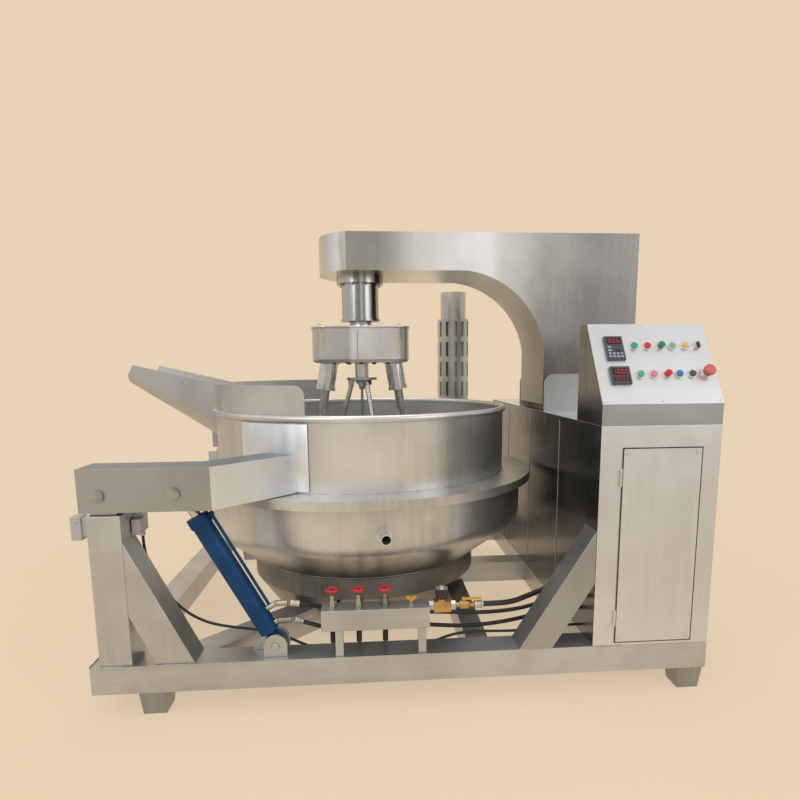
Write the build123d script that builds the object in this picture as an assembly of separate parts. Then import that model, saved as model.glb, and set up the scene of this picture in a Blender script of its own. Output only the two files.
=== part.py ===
from build123d import *
import math
import os

# Tilting, gas-fired jacketed cooking kettle with a planetary stirrer, in millimetres.
# The origin is on the floor under the kettle's axis. +Z is up, the operator stands
# at -Y, the pouring side is -X and the control cabinet is +X.

os.makedirs("parts", exist_ok=True)

# ---------------------------------------------------------------- driving sizes
seat_gap = 0.3             # gap left between curved or welded pieces that sit together
running_gap = 0.06         # radial clearance of pins, shafts and spindles
sheet = 4.0                # stainless sheet of shells and covers

# base frame
foot_height = 80.0
rail_height = 92.0
rail_width = 100.0
rail_wall = 4.0
frame_left = -856.0
frame_half_depth = 797.0
foot_top = 90.0
foot_bottom = 74.0
foot_left_x = -672.0
cross_beam_y = 100.0
depth_member_x = 385.0
depth_member_width = 76.0
diagonal_start_x = -560.0

# kettle
pot_radius = 610.0
pot_wall = 4.0
rim_z = 921.0
bead_radius = 13.0
ledge_z = 661.0
ledge_overhang = 39.0
ledge_lip = 28.0
crown_radius = 900.0
knuckle_radius = 230.0
jacket_space = 73.0
jacket_wall = 5.0
jacket_straight_z = 470.0
jacket_taper = 197.0
jacket_foot_z = 318.0
jacket_crown_radius = 2400.0
guard_height = 101.0
guard_corner = 38.0
guard_end_x = -187.0
spout_half_width = 150.0
spout_root_low_z = 806.0
spout_tip_x = -950.0
spout_tip_low_z = 1030.0
spout_tip_depth = 92.0
spout_tip_rake = 62.0
port_azimuth = -84.0
port_z = 540.0
port_radius = 19.0
port_length = 64.0

# tilting beams and their pivots
pivot_x = -781.0
pivot_z = 721.0
rod_pin_x = -560.0
rod_pin_z = 723.0
beam_left = -840.0
beam_bend_x = -450.0
beam_low_z = 668.0
beam_high_z = 802.0
beam_wall = 6.0
beam_overhang = 5.0
beam_width = 118.0
doubler_thick = 6.0
doubler_top_z = 905.0
doubler_start = 226.0
doubler_end = 253.0
pin_radius = 15.0
pin_head_radius = 19.0
pin_head_thick = 7.0
lug_width = 80.0
lug_thick = 70.0

# side stands
post_left = -826.0
post_width = 100.0
post_top_z = 656.0
brace_top_z = 573.0
brace_foot_x = -534.0
brace_foot_inner_x = -654.0
brace_inner_top_z = 335.0
cabinet_brace_foot_x = 508.0
cabinet_brace_foot_width = 112.0
cabinet_brace_rise = 395.0

# tilting cylinders
base_pin_x = -285.0
base_pin_z = 208.0
base_pin_radius = 12.0
barrel_radius = 31.5
barrel_bore = 25.0
barrel_start = 46.0
barrel_end = 488.0
gland_length = 34.0
rod_radius = 16.0
piston_start = 84.0
piston_length = 30.0
eye_radius = 36.0
eye_thick = 40.0
eye_slack = 8.5            # slack of the rod eye round its pin
fitting_high_x = -246.0
fitting_low_x = -234.0
ear_radius = 38.0
ear_thick = 12.0

# furnace and chimney
furnace_inset = 4.0
furnace_top_z = 314.0
furnace_straight_z = 232.0
furnace_taper = 82.0
furnace_low_z = 113.0
flue_x = 496.0
guard_clearance = 8.0     # room for the ledge as the kettle tilts
flue_brace_gap = 8.0      # between the chimney's foot and the rear brace
flue_radius = 68.0
flue_top_z = 1492.0
duct_z = 238.0
duct_radius = 50.0
burner_z = 215.0
burner_radius = 240.0
burner_tube = 16.0
feed_radius = 8.0
guard_radius = 84.0
guard_low_z = 712.0
guard_top_z = 1350.0
slot_tiers = 6
slots_round = 12

# gas train
manifold_left = -136.0
manifold_right = 214.0
manifold_low_z = 257.0
manifold_high_z = 326.0
manifold_depth = 70.0
manifold_setback = 7.0
manifold_leg_width = 26.0
manifold_legs_x = (-79.0, 189.0)
valve_xs = (-101.0, -16.0, 70.0)
valve_setback = 34.0
wheel_radius = 22.0
wheel_z = 384.0
cock_x = 156.0
solenoid_x = 256.0
solenoid_z = 322.0
lever_x = 330.0

# cabinet and console
cabinet_left = 755.0
cabinet_width = 395.0
cabinet_top_z = 906.0
panel_left_margin = 74.0
panel_right_margin = 62.0
panel_low_z = 184.0
panel_high_z = 834.0
panel_thick = 3.0
console_low_z = 972.0
console_top_z = 1228.0
console_top_front = 640.0
console_back = 580.0
cheek_top_z = 1062.0
cheek_setback = 190.0
cheek_thick = 10.0
arm_pivot_x = 1074.0
arm_pivot_z = 985.0
arm_pin_radius = 22.0

# gooseneck arm
arm_half_width = 174.0
arm_beam_depth = 147.0
arm_end_x = -168.0
arm_end_flat_x = -51.0
arm_under_z = 1476.0
arm_low_z = 936.0
arm_setback = 11.0          # of the arm's back from the cabinet's right side
arm_wall = 3.0
motor_radius = 62.0
arm_frame_half = 150.0
boss_radius = 32.0
arm_bend_start_x = 430.0
arm_bend_low_z = 1165.0

# drive and planetary head
flange_radius = 98.0
flange_thick = 34.0
column_radius = 78.0
column_low_z = 1289.0
neck_radius = 47.0
head_top_z = 1253.0
head_low_z = 1115.0
head_half_x = 199.0
head_half_y = 165.0
head_corner = 62.0
leg_offset = 140.0
leg_lean = 9.0
leg_top_radius = 39.0
leg_length = 112.0
tool_rod_radius = 19.0
tool_stem = 200.0
shaft_radius = 25.0
blade_gap = 6.0
blade_depth = 34.0
scraper_inner_x = 150.0
scraper_outer_x = 478.0
scraper_elbow_x = 250.0
scraper_elbow_z = 640.0
scraper_foot_x = 330.0
scraper_high_x = 440.0
stirrer_reach = 745.0
paddle_centre = 640.0
paddle_length = 210.0
paddle_half = 58.0
paddle_bar = 18.0
whisk_disc_drop = 62.0
whisk_disc_radius = 66.0
whisk_knee_radius = 92.0
whisk_knee_z = 860.0
whisk_foot_radius = 118.0
whisk_low_z = 372.0

# Hoses and cable
hose_diameter = 14.0
gas_hose_diameter = 18.0
cable_diameter = 9.0
hose_play = 9.0            # room for the fittings' swing


# ---------------------------------------------------------------- helpers
def block(x0, x1, y0, y1, z0, z1):
    """A box between two corners."""
    size = Box(abs(x1 - x0), abs(y1 - y0), abs(z1 - z0))
    return Pos((x0 + x1) / 2, (y0 + y1) / 2, (z0 + z1) / 2) * size


def rod(p, q, radius):
    """A round bar from point p to point q."""
    start, end = Vector(*p), Vector(*q)
    place = Plane(origin=start, z_dir=end - start)
    return extrude(place * Circle(radius), (end - start).length)


def pipe(p, q, radius, bore):
    """A round tube from point p to point q."""
    return rod(p, q, radius) - rod(p, q, bore)


def side_plate(points, y0, y1):
    """A plate whose outline lies in the XZ plane, between two depths."""
    outline = make_face(Polyline([(x, y0, z) for x, z in points], close=True))
    return extrude(outline, abs(y1 - y0), dir=(0, 1 if y1 > y0 else -1, 0))


def floor_plate(points, z0, z1):
    """A plate whose outline lies in the XY plane, between two heights."""
    outline = make_face(Polyline([(x, y, z0) for x, y in points], close=True))
    return extrude(outline, z1 - z0, dir=(0, 0, 1))


def rail_x(x0, x1, y, z0, z1, width, wall):
    """A square tube along X."""
    outer = block(x0, x1, y - width / 2, y + width / 2, z0, z1)
    inner = block(x0 - 1, x1 + 1, y - width / 2 + wall, y + width / 2 - wall, z0 + wall, z1 - wall)
    return outer - inner


def rail_y(y0, y1, x, z0, z1, width, wall):
    """A square tube along Y."""
    outer = block(x - width / 2, x + width / 2, y0, y1, z0, z1)
    inner = block(x - width / 2 + wall, x + width / 2 - wall, y0 - 1, y1 + 1, z0 + wall, z1 - wall)
    return outer - inner


def both_sides(shapes):
    """The shapes and their mirror images at the back of the machine."""
    return list(shapes) + [mirror(s, about=Plane.XZ) for s in shapes]


def solids_of(shapes):
    found = []
    for shape in shapes:
        found.extend(shape.solids())
    return found


nodes = {}


def node(name, *shapes):
    nodes[name] = Compound(children=solids_of(shapes))


def ring(profile, start=0.0, sweep=360.0):
    """A profile of (radius, z) points turned round the kettle's axis."""
    face = make_face(Polyline([(r, 0, z) for r, z in profile], close=True))
    turned = revolve(face, Axis.Z, sweep)
    return Rot(0, 0, start) * turned


def dome(radius, knuckle, crown, top_z, high_z):
    """A dished shape of revolution: cylinder, knuckle and crown, closed at high_z."""
    centre_r = radius - knuckle
    reach = math.sqrt((crown - knuckle) ** 2 - centre_r ** 2)
    crown_z = top_z + reach
    angle = math.atan2(centre_r, reach)
    touch = (crown * math.sin(angle), 0, crown_z - crown * math.cos(angle))
    half = (math.pi / 2 - angle) / 2
    middle = (centre_r + knuckle * math.cos(half), 0, top_z - knuckle * math.sin(half))
    crown_mid = (crown * math.sin(angle / 2), 0, crown_z - crown * math.cos(angle / 2))
    bottom = (0, 0, crown_z - crown)
    edges = [
        Line((0, 0, high_z), (radius, 0, high_z)),
        Line((radius, 0, high_z), (radius, 0, top_z)),
        ThreePointArc((radius, 0, top_z), middle, touch),
        ThreePointArc(touch, crown_mid, bottom),
        Line(bottom, (0, 0, high_z)),
    ]
    return revolve(make_face(Wire(edges)), Axis.Z, 360)


# ---------------------------------------------------------------- sizes that follow
pot_inner = pot_radius - pot_wall
dish_top_z = ledge_z + 2
jacket_radius = pot_radius + jacket_space
jacket_foot_radius = jacket_radius - jacket_taper
ledge_radius = jacket_radius + ledge_overhang
furnace_radius = jacket_foot_radius - furnace_inset
furnace_low_radius = furnace_radius - furnace_taper
rail_top = foot_height + rail_height
front_rail_y = frame_half_depth - rail_width / 2
inner_y = frame_half_depth - rail_width
beam_front = frame_half_depth + beam_overhang
manifold_front = frame_half_depth - manifold_setback
flue_low_z = rail_top + seat_gap
cabinet_right = cabinet_left + cabinet_width
frame_right = cabinet_right
panel_left = cabinet_left + panel_left_margin
panel_right = cabinet_right - panel_right_margin
arm_column_left = cabinet_left
arm_right = cabinet_right - arm_setback
flue_distance = ledge_radius + sheet + guard_clearance + guard_radius
flue_y = math.sqrt(flue_distance ** 2 - flue_x ** 2)
rear_brace_foot_x = flue_x + flue_radius + flue_brace_gap
arm_top_z = arm_under_z + arm_beam_depth


# ---------------------------------------------------------------- base frame


def furnace_outside(grow):
    profile = [
        (0, furnace_low_z - 40),
        (furnace_low_radius + grow, furnace_low_z - 40),
        (furnace_low_radius + grow, furnace_low_z),
        (furnace_radius + grow, furnace_straight_z),
        (furnace_radius + grow, furnace_top_z),
        (0, furnace_top_z),
    ]
    return ring(profile)


def base_frame():
    z0, z1 = foot_height, rail_top
    pieces = []
    for side in (-1, 1):
        pieces.append(rail_x(frame_left, frame_right, side * front_rail_y, z0, z1, rail_width, rail_wall))
        for end_x, inward in ((frame_left, 1), (frame_right, -1)):
            cap = block(end_x, end_x + inward * rail_wall, side * (front_rail_y - rail_width / 2 + rail_wall),
                        side * (front_rail_y + rail_width / 2 - rail_wall), z0 + rail_wall, z1 - rail_wall)
            pieces.append(cap)
    depth_rails = [
        (frame_left + rail_width / 2, rail_width),
        (cabinet_left + rail_width / 2, rail_width),
        (frame_right - rail_width / 2, rail_width),
    ]
    for x, width in depth_rails:
        pieces.append(rail_y(-inner_y, inner_y, x, z0, z1, width, rail_wall))
    keep_out = furnace_outside(seat_gap)
    cross = rail_x(0, cabinet_left, cross_beam_y, z0, z1, rail_width, rail_wall) - keep_out
    pieces.append(cross)
    member = rail_y(-inner_y, cross_beam_y - rail_width / 2, depth_member_x, z0, z1, depth_member_width, rail_wall)
    pieces.append(member - keep_out)
    pieces.extend(diagonals(keep_out))
    return pieces


def diagonals(keep_out):
    """Square tubes at 45 degrees from the long rails to the furnace."""
    half = rail_width / math.sqrt(2)
    outline = [
        (diagonal_start_x - half, -inner_y),
        (diagonal_start_x + half, -inner_y),
        (diagonal_start_x + half + inner_y, 0),
        (diagonal_start_x - half + inner_y, 0),
    ]
    inset = half - rail_wall * math.sqrt(2)
    hollow = [
        (diagonal_start_x - inset - 2, -inner_y - 2),
        (diagonal_start_x + inset - 2, -inner_y - 2),
        (diagonal_start_x + inset + inner_y, 0),
        (diagonal_start_x - inset + inner_y, 0),
    ]
    bar = floor_plate(outline, foot_height, rail_top)
    bar -= floor_plate(hollow, foot_height + rail_wall, rail_top - rail_wall)
    return both_sides([bar - keep_out])


def base_feet():
    feet = []
    for x in (foot_left_x, frame_right - rail_width / 2):
        for side in (-1, 1):
            place = Pos(x, side * front_rail_y, 0)
            bottom = place * Rectangle(foot_bottom, foot_bottom)
            top = place * Pos(0, 0, foot_height) * Rectangle(foot_top, foot_top)
            feet.append(loft([bottom.face(), top.face()]))
    return feet


# ---------------------------------------------------------------- side stands
post_y = beam_front - beam_width / 2
post_right = post_left + post_width


def square_leg(outer, inner, width):
    """A tube seen from the side as a polygon, with its hollow."""
    y0, y1 = -post_y - width / 2, -post_y + width / 2
    body = side_plate(outer, y0, y1)
    return body - side_plate(inner, y0 + rail_wall, y1 - rail_wall)


def side_stands():
    w = rail_wall
    post = square_leg(
        [(post_left, rail_top), (post_right, rail_top), (post_right, post_top_z), (post_left, post_top_z)],
        [(post_left + w, rail_top - 1), (post_right - w, rail_top - 1),
         (post_right - w, post_top_z - w), (post_left + w, post_top_z - w)],
        post_width)
    slope_x = brace_foot_x - post_right
    slope_z = brace_top_z - rail_top
    cut = w * math.hypot(slope_x, slope_z) / slope_x
    brace = square_leg(
        [(post_right, brace_inner_top_z), (post_right, brace_top_z),
         (brace_foot_x, rail_top), (brace_foot_inner_x, rail_top)],
        [(post_right - 1, brace_inner_top_z + cut), (post_right - 1, brace_top_z - cut),
         (brace_foot_x - cut * slope_x / slope_z, rail_top - 1),
         (brace_foot_inner_x + cut * slope_x / slope_z, rail_top - 1)],
        post_width)
    lug_left = pivot_x - lug_width / 2
    lug = block(lug_left, lug_left + lug_width, -post_y - lug_thick / 2, -post_y + lug_thick / 2,
                post_top_z, pivot_z)
    lug += rod((pivot_x, -post_y - lug_thick / 2, pivot_z), (pivot_x, -post_y + lug_thick / 2, pivot_z),
               lug_width / 2)
    lug -= rod((pivot_x, -post_y - lug_thick, pivot_z), (pivot_x, -post_y + lug_thick, pivot_z),
               pin_radius + running_gap)
    return both_sides([post, brace, lug])


def cabinet_braces():
    face_x = cabinet_left - seat_gap
    slope = cabinet_brace_rise / (face_x - cabinet_brace_foot_x)
    w = rail_wall
    cut_z = w * math.hypot(1, slope)
    bars = []
    for foot_x, y0 in ((cabinet_brace_foot_x, -frame_half_depth), (rear_brace_foot_x, inner_y)):
        foot_end = foot_x + cabinet_brace_foot_width
        low_z = rail_top + slope * (face_x - foot_end)
        high_z = rail_top + slope * (face_x - foot_x)
        outer = [(foot_x, rail_top), (foot_end, rail_top), (face_x, low_z), (face_x, high_z)]
        inner = [
            (foot_x + cut_z / slope, rail_top - 1),
            (foot_end - cut_z / slope, rail_top - 1),
            (face_x + 1, low_z + cut_z),
            (face_x + 1, high_z - cut_z),
        ]
        y1 = y0 + rail_width
        bars.append(side_plate(outer, y0, y1) - side_plate(inner, y0 + w, y1 - w))
    return bars


switch_gland_x = post_right + 17
switch_gland_y = -post_y + post_width / 2 + 17
switch_gland_z = post_top_z - 94


def limit_switch():
    """A rest block behind the post with the switch that stops the kettle when level."""
    y0 = -post_y + post_width / 2
    arm = block(post_left - 34, post_right + 30, y0, y0 + 34, post_top_z - 74, post_top_z - 12)
    switch = block(post_right + 4, post_right + 30, y0 - 30, y0 - seat_gap, post_top_z - 80, post_top_z - 30)
    gland = rod((switch_gland_x, switch_gland_y, post_top_z - 74),
                (switch_gland_x, switch_gland_y, switch_gland_z), 8)
    return both_sides([arm, switch]) + [gland]


# ---------------------------------------------------------------- cylinders
cylinder_y = post_y
cylinder_length = math.hypot(rod_pin_x - base_pin_x, rod_pin_z - base_pin_z)
along = Vector((rod_pin_x - base_pin_x) / cylinder_length, 0, (rod_pin_z - base_pin_z) / cylinder_length)
across = Vector(along.Z, 0, -along.X)


def on_axis(distance, offset=0.0, y=0.0):
    """A point of the cylinder's axis, measured from its base pin."""
    point = Vector(base_pin_x, -cylinder_y + y, base_pin_z) + along * distance + across * offset
    return (point.X, point.Y, point.Z)


def cylinder_mounts():
    pieces = []
    for y0, y1 in ((-eye_thick / 2 - ear_thick - 1, -eye_thick / 2 - 1),
                   (eye_thick / 2 + 1, eye_thick / 2 + ear_thick + 1)):
        ear = rod((base_pin_x, -cylinder_y + y0, base_pin_z), (base_pin_x, -cylinder_y + y1, base_pin_z), ear_radius)
        ear += block(base_pin_x - ear_radius, base_pin_x + ear_radius, -cylinder_y + y0, -cylinder_y + y1,
                     rail_top, base_pin_z)
        ear -= block(base_pin_x - 60, base_pin_x + 60, -cylinder_y + y0, -cylinder_y + y1, rail_top - 60, rail_top)
        ear -= rod((base_pin_x, -cylinder_y + y0, base_pin_z), (base_pin_x, -cylinder_y + y1, base_pin_z),
                   base_pin_radius)
        pieces.append(ear)
    back = -cylinder_y + eye_thick / 2 + 1
    gusset = side_plate([(base_pin_x - ear_radius - 46, rail_top), (base_pin_x - ear_radius, rail_top),
                         (base_pin_x - ear_radius, base_pin_z + 20)], back, back + 8)
    pieces.append(gusset)
    pin = rod((base_pin_x, -cylinder_y - eye_thick / 2 - ear_thick - 6, base_pin_z),
              (base_pin_x, -cylinder_y + eye_thick / 2 + ear_thick + 6, base_pin_z), base_pin_radius)
    pieces.append(pin)
    return both_sides(pieces)


def cylinder_barrels():
    barrel = rod(on_axis(barrel_start), on_axis(barrel_end), barrel_radius)
    barrel -= rod(on_axis(barrel_start + 16), on_axis(barrel_end - gland_length), barrel_bore)
    barrel -= rod(on_axis(barrel_end - gland_length), on_axis(barrel_end), rod_radius + running_gap)
    barrel += rod(on_axis(barrel_end - gland_length), on_axis(barrel_end), barrel_radius + 4) \
        - rod(on_axis(barrel_end - gland_length), on_axis(barrel_end), rod_radius + 8)
    half = eye_thick / 2
    eye = rod((base_pin_x, -cylinder_y - half, base_pin_z), (base_pin_x, -cylinder_y + half, base_pin_z), 24)
    stem = rod(on_axis(8), on_axis(barrel_start), 18)
    barrel += eye + stem
    barrel -= rod((base_pin_x, -cylinder_y - half, base_pin_z), (base_pin_x, -cylinder_y + half, base_pin_z),
                  base_pin_radius + running_gap)
    return both_sides([barrel])


def cylinder_fittings():
    """The return pipe beside the barrel and the hose fittings at its foot."""
    reach = barrel_radius + 12
    top, low, port = barrel_end - 16, barrel_start + 70, barrel_start + 16
    start = barrel_radius + 4 + seat_gap
    pipe_run = rod(on_axis(top, start), on_axis(top, reach + 6), 8)
    pipe_run += rod(on_axis(top, reach), on_axis(low, reach), 5)
    low_start = barrel_radius + seat_gap
    pipe_run += rod(on_axis(low, low_start), on_axis(low, reach + 22), 9)
    high_end, low_end = on_axis(low, reach + 22), on_axis(port, reach)
    pipe_run += rod(high_end, (fitting_high_x, high_end[1], high_end[2]), 10)
    block_port = rod(on_axis(port, low_start), low_end, 11)
    block_port += rod(low_end, (fitting_low_x, low_end[1], low_end[2]), 11)
    return both_sides([pipe_run, block_port])


def cylinder_rods():
    bar = rod(on_axis(piston_start), on_axis(cylinder_length - 20), rod_radius)
    bar += rod(on_axis(piston_start), on_axis(piston_start + piston_length), barrel_bore - running_gap)
    half = eye_thick / 2
    bar += rod((rod_pin_x, -cylinder_y - half, rod_pin_z), (rod_pin_x, -cylinder_y + half, rod_pin_z), eye_radius)
    bar -= rod((rod_pin_x, -cylinder_y - half, rod_pin_z), (rod_pin_x, -cylinder_y + half, rod_pin_z),
               pin_radius + eye_slack)
    return both_sides([bar])


# ---------------------------------------------------------------- tilting beams
def beam_outline(grow):
    """The beam's plan, from its free end to past the kettle's wall."""
    inner_corner_x = beam_bend_x - beam_width * math.tan(math.radians(22.5))
    front, back = -beam_front + grow, -beam_front + beam_width - grow
    turn = grow * math.tan(math.radians(22.5))
    reach = 330
    left = beam_left - (5 if grow else 0)
    return [
        (left, front),
        (beam_bend_x - turn, front),
        (beam_bend_x - turn + reach, front + reach),
        (inner_corner_x + turn + reach, back + reach),
        (inner_corner_x + turn, back),
        (left, back),
    ]


def tilt_beams():
    channel = floor_plate(beam_outline(0), beam_low_z, beam_high_z)
    channel -= floor_plate(beam_outline(beam_wall), beam_low_z - 1, beam_high_z - beam_wall)
    shell = Pos(0, 0, (beam_low_z + beam_high_z) / 2) * Cylinder(pot_radius + seat_gap + doubler_thick + seat_gap, 400)
    channel -= shell
    for x, z in ((pivot_x, pivot_z), (rod_pin_x, rod_pin_z)):
        channel -= rod((x, -beam_front - 5, z), (x, -beam_front + beam_width + 5, z), pin_radius)
    channel = [s for s in channel.solids() if s.volume > 1000]
    plate_in = pot_radius + seat_gap
    doubler = ring([(plate_in, ledge_z + 11), (plate_in + doubler_thick, ledge_z + 11),
                    (plate_in + doubler_thick, doubler_top_z), (plate_in, doubler_top_z)],
                   doubler_start, doubler_end - doubler_start)
    return both_sides(channel + [doubler])


def tilt_pins():
    pins = []
    for x, z in ((pivot_x, pivot_z), (rod_pin_x, rod_pin_z)):
        shaft = rod((x, -beam_front, z), (x, -beam_front + beam_width, z), pin_radius)
        head = rod((x, -beam_front - pin_head_thick, z), (x, -beam_front, z), pin_head_radius)
        pins.append(shaft + head)
    return both_sides(pins)


# ---------------------------------------------------------------- kettle
def spout_section(x, low_z, high_z, half, inset):
    """A U section across the spout at one station."""
    h = half - inset
    low = low_z + inset
    mid = low + min(0.62 * h, 0.6 * (high_z - low))
    points = [(x, -h, high_z), (x, -h, mid)]
    arc = ThreePointArc((x, -h, mid), (x, 0, low), (x, h, mid))
    edges = [Line(points[0], points[1]), arc, Line((x, h, mid), (x, h, high_z)), Line((x, h, high_z), points[0])]
    return make_face(Wire(edges))


def spout_solid(inset):
    root_x = -pot_inner + 160
    slope = (spout_tip_low_z - spout_root_low_z) / (spout_tip_x + pot_radius)
    root_low = spout_root_low_z + slope * (root_x + pot_radius)
    top_slope = (spout_tip_low_z + spout_tip_depth - rim_z - bead_radius - guard_height) / (spout_tip_x + 590)
    over = 30 if inset else 0
    root_high = rim_z + bead_radius + guard_height + top_slope * (root_x + 590)
    tip_high = spout_tip_low_z + spout_tip_depth
    reach = 60 if inset else 0
    sections = [
        spout_section(root_x, root_low, root_high + over, spout_half_width, inset),
        spout_section(spout_tip_x - reach, spout_tip_low_z - slope * reach, tip_high - top_slope * reach + over,
                      spout_half_width, inset),
    ]
    return loft(sections)


def pouring_spout():
    trough = spout_solid(0) - spout_solid(sheet)
    trough -= Pos(0, 0, 800) * Cylinder(pot_radius + seat_gap, 900)
    bead = Pos(0, 0, rim_z) * Torus(pot_radius - pot_wall / 2, bead_radius + seat_gap)
    trough -= bead
    tip = Plane(origin=(spout_tip_x, 0, spout_tip_low_z), z_dir=(-math.sin(math.radians(spout_tip_rake)), 0,
                                                                 math.cos(math.radians(spout_tip_rake))))
    trough = split(trough, bisect_by=tip, keep=Keep.BOTTOM)
    return [s for s in trough.solids() if s.volume > 1000]


def kettle_bowl():
    shell = dome(pot_radius, knuckle_radius, crown_radius, dish_top_z, rim_z)
    shell -= dome(pot_inner, knuckle_radius - pot_wall, crown_radius - pot_wall, dish_top_z, rim_z + 1)
    bead = Pos(0, 0, rim_z) * Torus(pot_radius - pot_wall / 2, bead_radius)
    bowl = shell + bead
    bowl -= spout_solid(0)
    return [s for s in bowl.solids() if s.volume > 1000]


def splash_guards():
    low = rim_z + bead_radius + seat_gap
    start = 180 + math.degrees(math.asin((spout_half_width + seat_gap) / pot_radius))
    end = 180 + math.degrees(math.acos(-guard_end_x / pot_radius))
    plate = ring([(pot_inner, low), (pot_radius, low), (pot_radius, low + guard_height), (pot_inner, low + guard_height)],
                 start, end - start)
    corner = plate.edges().filter_by(lambda e: abs(e.length - pot_wall) < 0.1).sort_by(Axis.Z)[-2:].sort_by(Axis.X)[-1]
    return both_sides([fillet(corner, guard_corner)])


def jacket_profile_solid(inset, top):
    """The jacket's outside as a solid, or its inside for an inset of the wall."""
    r = jacket_radius - inset
    foot_r = jacket_foot_radius - inset * 0.8
    crown = jacket_crown_radius - inset
    drop = crown - math.sqrt(crown ** 2 - foot_r ** 2)
    foot_z = jacket_foot_z + inset
    half_r = foot_r / 2
    mid_z = foot_z - drop + crown - math.sqrt(crown ** 2 - half_r ** 2)
    edges = [
        Line((0, 0, top), (r, 0, top)),
        Line((r, 0, top), (r, 0, jacket_straight_z)),
        Line((r, 0, jacket_straight_z), (foot_r, 0, foot_z)),
        ThreePointArc((foot_r, 0, foot_z), (half_r, 0, mid_z), (0, 0, foot_z - drop)),
        Line((0, 0, foot_z - drop), (0, 0, top)),
    ]
    body = revolve(make_face(Wire(edges)), Axis.Z, 360)
    bend = body.edges().filter_by(lambda e: abs(e.center().Z - jacket_straight_z) < 1 and e.length > 1000)
    return fillet(bend, 70 - inset)


def kettle_jacket():
    outer = jacket_profile_solid(0, ledge_z)
    inner = jacket_profile_solid(jacket_wall, ledge_z + 1)
    wall = outer - inner
    ledge = ring([
        (pot_radius + seat_gap, ledge_z - sheet), (jacket_radius - jacket_wall, ledge_z - sheet),
        (jacket_radius - jacket_wall, ledge_z), (ledge_radius, ledge_z), (ledge_radius, ledge_z - ledge_lip),
        (ledge_radius + sheet, ledge_z - ledge_lip), (ledge_radius + sheet, ledge_z + sheet),
        (pot_radius + seat_gap, ledge_z + sheet),
    ])
    hole = port_axis(-40, 40, port_radius - 4)
    return [(wall + ledge) - hole]


def port_axis(inside, outside, radius):
    a = math.radians(port_azimuth)
    inner_r, outer_r = jacket_radius + inside, jacket_radius + outside
    return rod((inner_r * math.cos(a), inner_r * math.sin(a), port_z),
               (outer_r * math.cos(a), outer_r * math.sin(a), port_z), radius)


def drain_port():
    tube = port_axis(-30, port_length, port_radius) - port_axis(-31, port_length + 1, port_radius - 4)
    collar = port_axis(-30, 9, port_radius + 7) - port_axis(-31, 10, port_radius - 1)
    outside = jacket_profile_solid(-seat_gap, ledge_z - 1)
    return [(tube + collar) - outside]



# ---------------------------------------------------------------- furnace and chimney
def furnace_shell():
    t = jacket_wall
    wall = ring([
        (furnace_low_radius, furnace_low_z), (furnace_radius, furnace_straight_z), (furnace_radius, furnace_top_z - 2),
        (furnace_radius - t, furnace_top_z - 2), (furnace_radius - t, furnace_straight_z),
        (furnace_low_radius - t, furnace_low_z + t), (furnace_low_radius - foot_bottom, furnace_low_z + t),
        (furnace_low_radius - foot_bottom, furnace_low_z),
    ])
    for x in valve_xs:
        wall -= rod((x, -furnace_radius - 9, burner_z), (x, 0, burner_z), feed_radius + 3)
    wall -= flue_duct(duct_radius - sheet, 0)
    return [wall]


def burner_ring():
    outer = Pos(0, 0, burner_z) * Torus(burner_radius, burner_tube)
    inner = Pos(0, 0, burner_z) * Torus(burner_radius / 2, burner_tube * 0.75)
    whole = outer + inner
    for angle in (45, 135, 225, 315):
        c, s = math.cos(math.radians(angle)), math.sin(math.radians(angle))
        whole += rod((burner_radius / 2 * c, burner_radius / 2 * s, burner_z),
                     (burner_radius * c, burner_radius * s, burner_z), burner_tube / 2)
        whole += rod((burner_radius * c, burner_radius * s, furnace_low_z + jacket_wall + sheet),
                     (burner_radius * c, burner_radius * s, burner_z), burner_tube / 2)
    bar_reach = furnace_low_radius - jacket_wall - 10
    bar_half = burner_tube
    bars = []
    for side in (-1, 1):
        y = side * burner_radius / math.sqrt(2)
        reach = math.sqrt(bar_reach ** 2 - (abs(y) + bar_half) ** 2)
        bars.append(block(-reach, reach, y - bar_half, y + bar_half,
                          furnace_low_z + jacket_wall, furnace_low_z + jacket_wall + sheet))
    return [whole] + bars


def gas_pipes():
    """The three feeds from under the manifold to the ring burner."""
    pipes = []
    clear = Pos(0, 0, burner_z) * Torus(burner_radius, burner_tube + seat_gap)
    y = -manifold_front + valve_setback
    for x in valve_xs:
        feed = rod((x, y, manifold_low_z), (x, y, burner_z - feed_radius - 1), feed_radius + 1)
        feed += rod((x, y, burner_z), (x, -burner_radius * 0.85, burner_z), feed_radius)
        pipes.append(feed - clear)
    return [p.solids().sort_by(Axis.Y)[0] for p in pipes]


def flue_duct(radius, extra):
    angle = math.atan2(flue_y, flue_x)
    start = 300 - extra
    c, s = math.cos(angle), math.sin(angle)
    return rod((start * c, start * s, duct_z), (flue_x, flue_y, duct_z), radius)


def chimney_flue():
    low = flue_low_z
    wall = sheet * 0.75
    outer = rod((flue_x, flue_y, low), (flue_x, flue_y, flue_top_z), flue_radius)
    outer += flue_duct(duct_radius, 0)
    outer -= rod((flue_x, flue_y, low + wall), (flue_x, flue_y, flue_top_z + 1), flue_radius - wall)
    outer -= flue_duct(duct_radius - wall, 1)
    outer -= furnace_outside(seat_gap)
    return [s for s in outer.solids() if s.volume > 1000]


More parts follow.
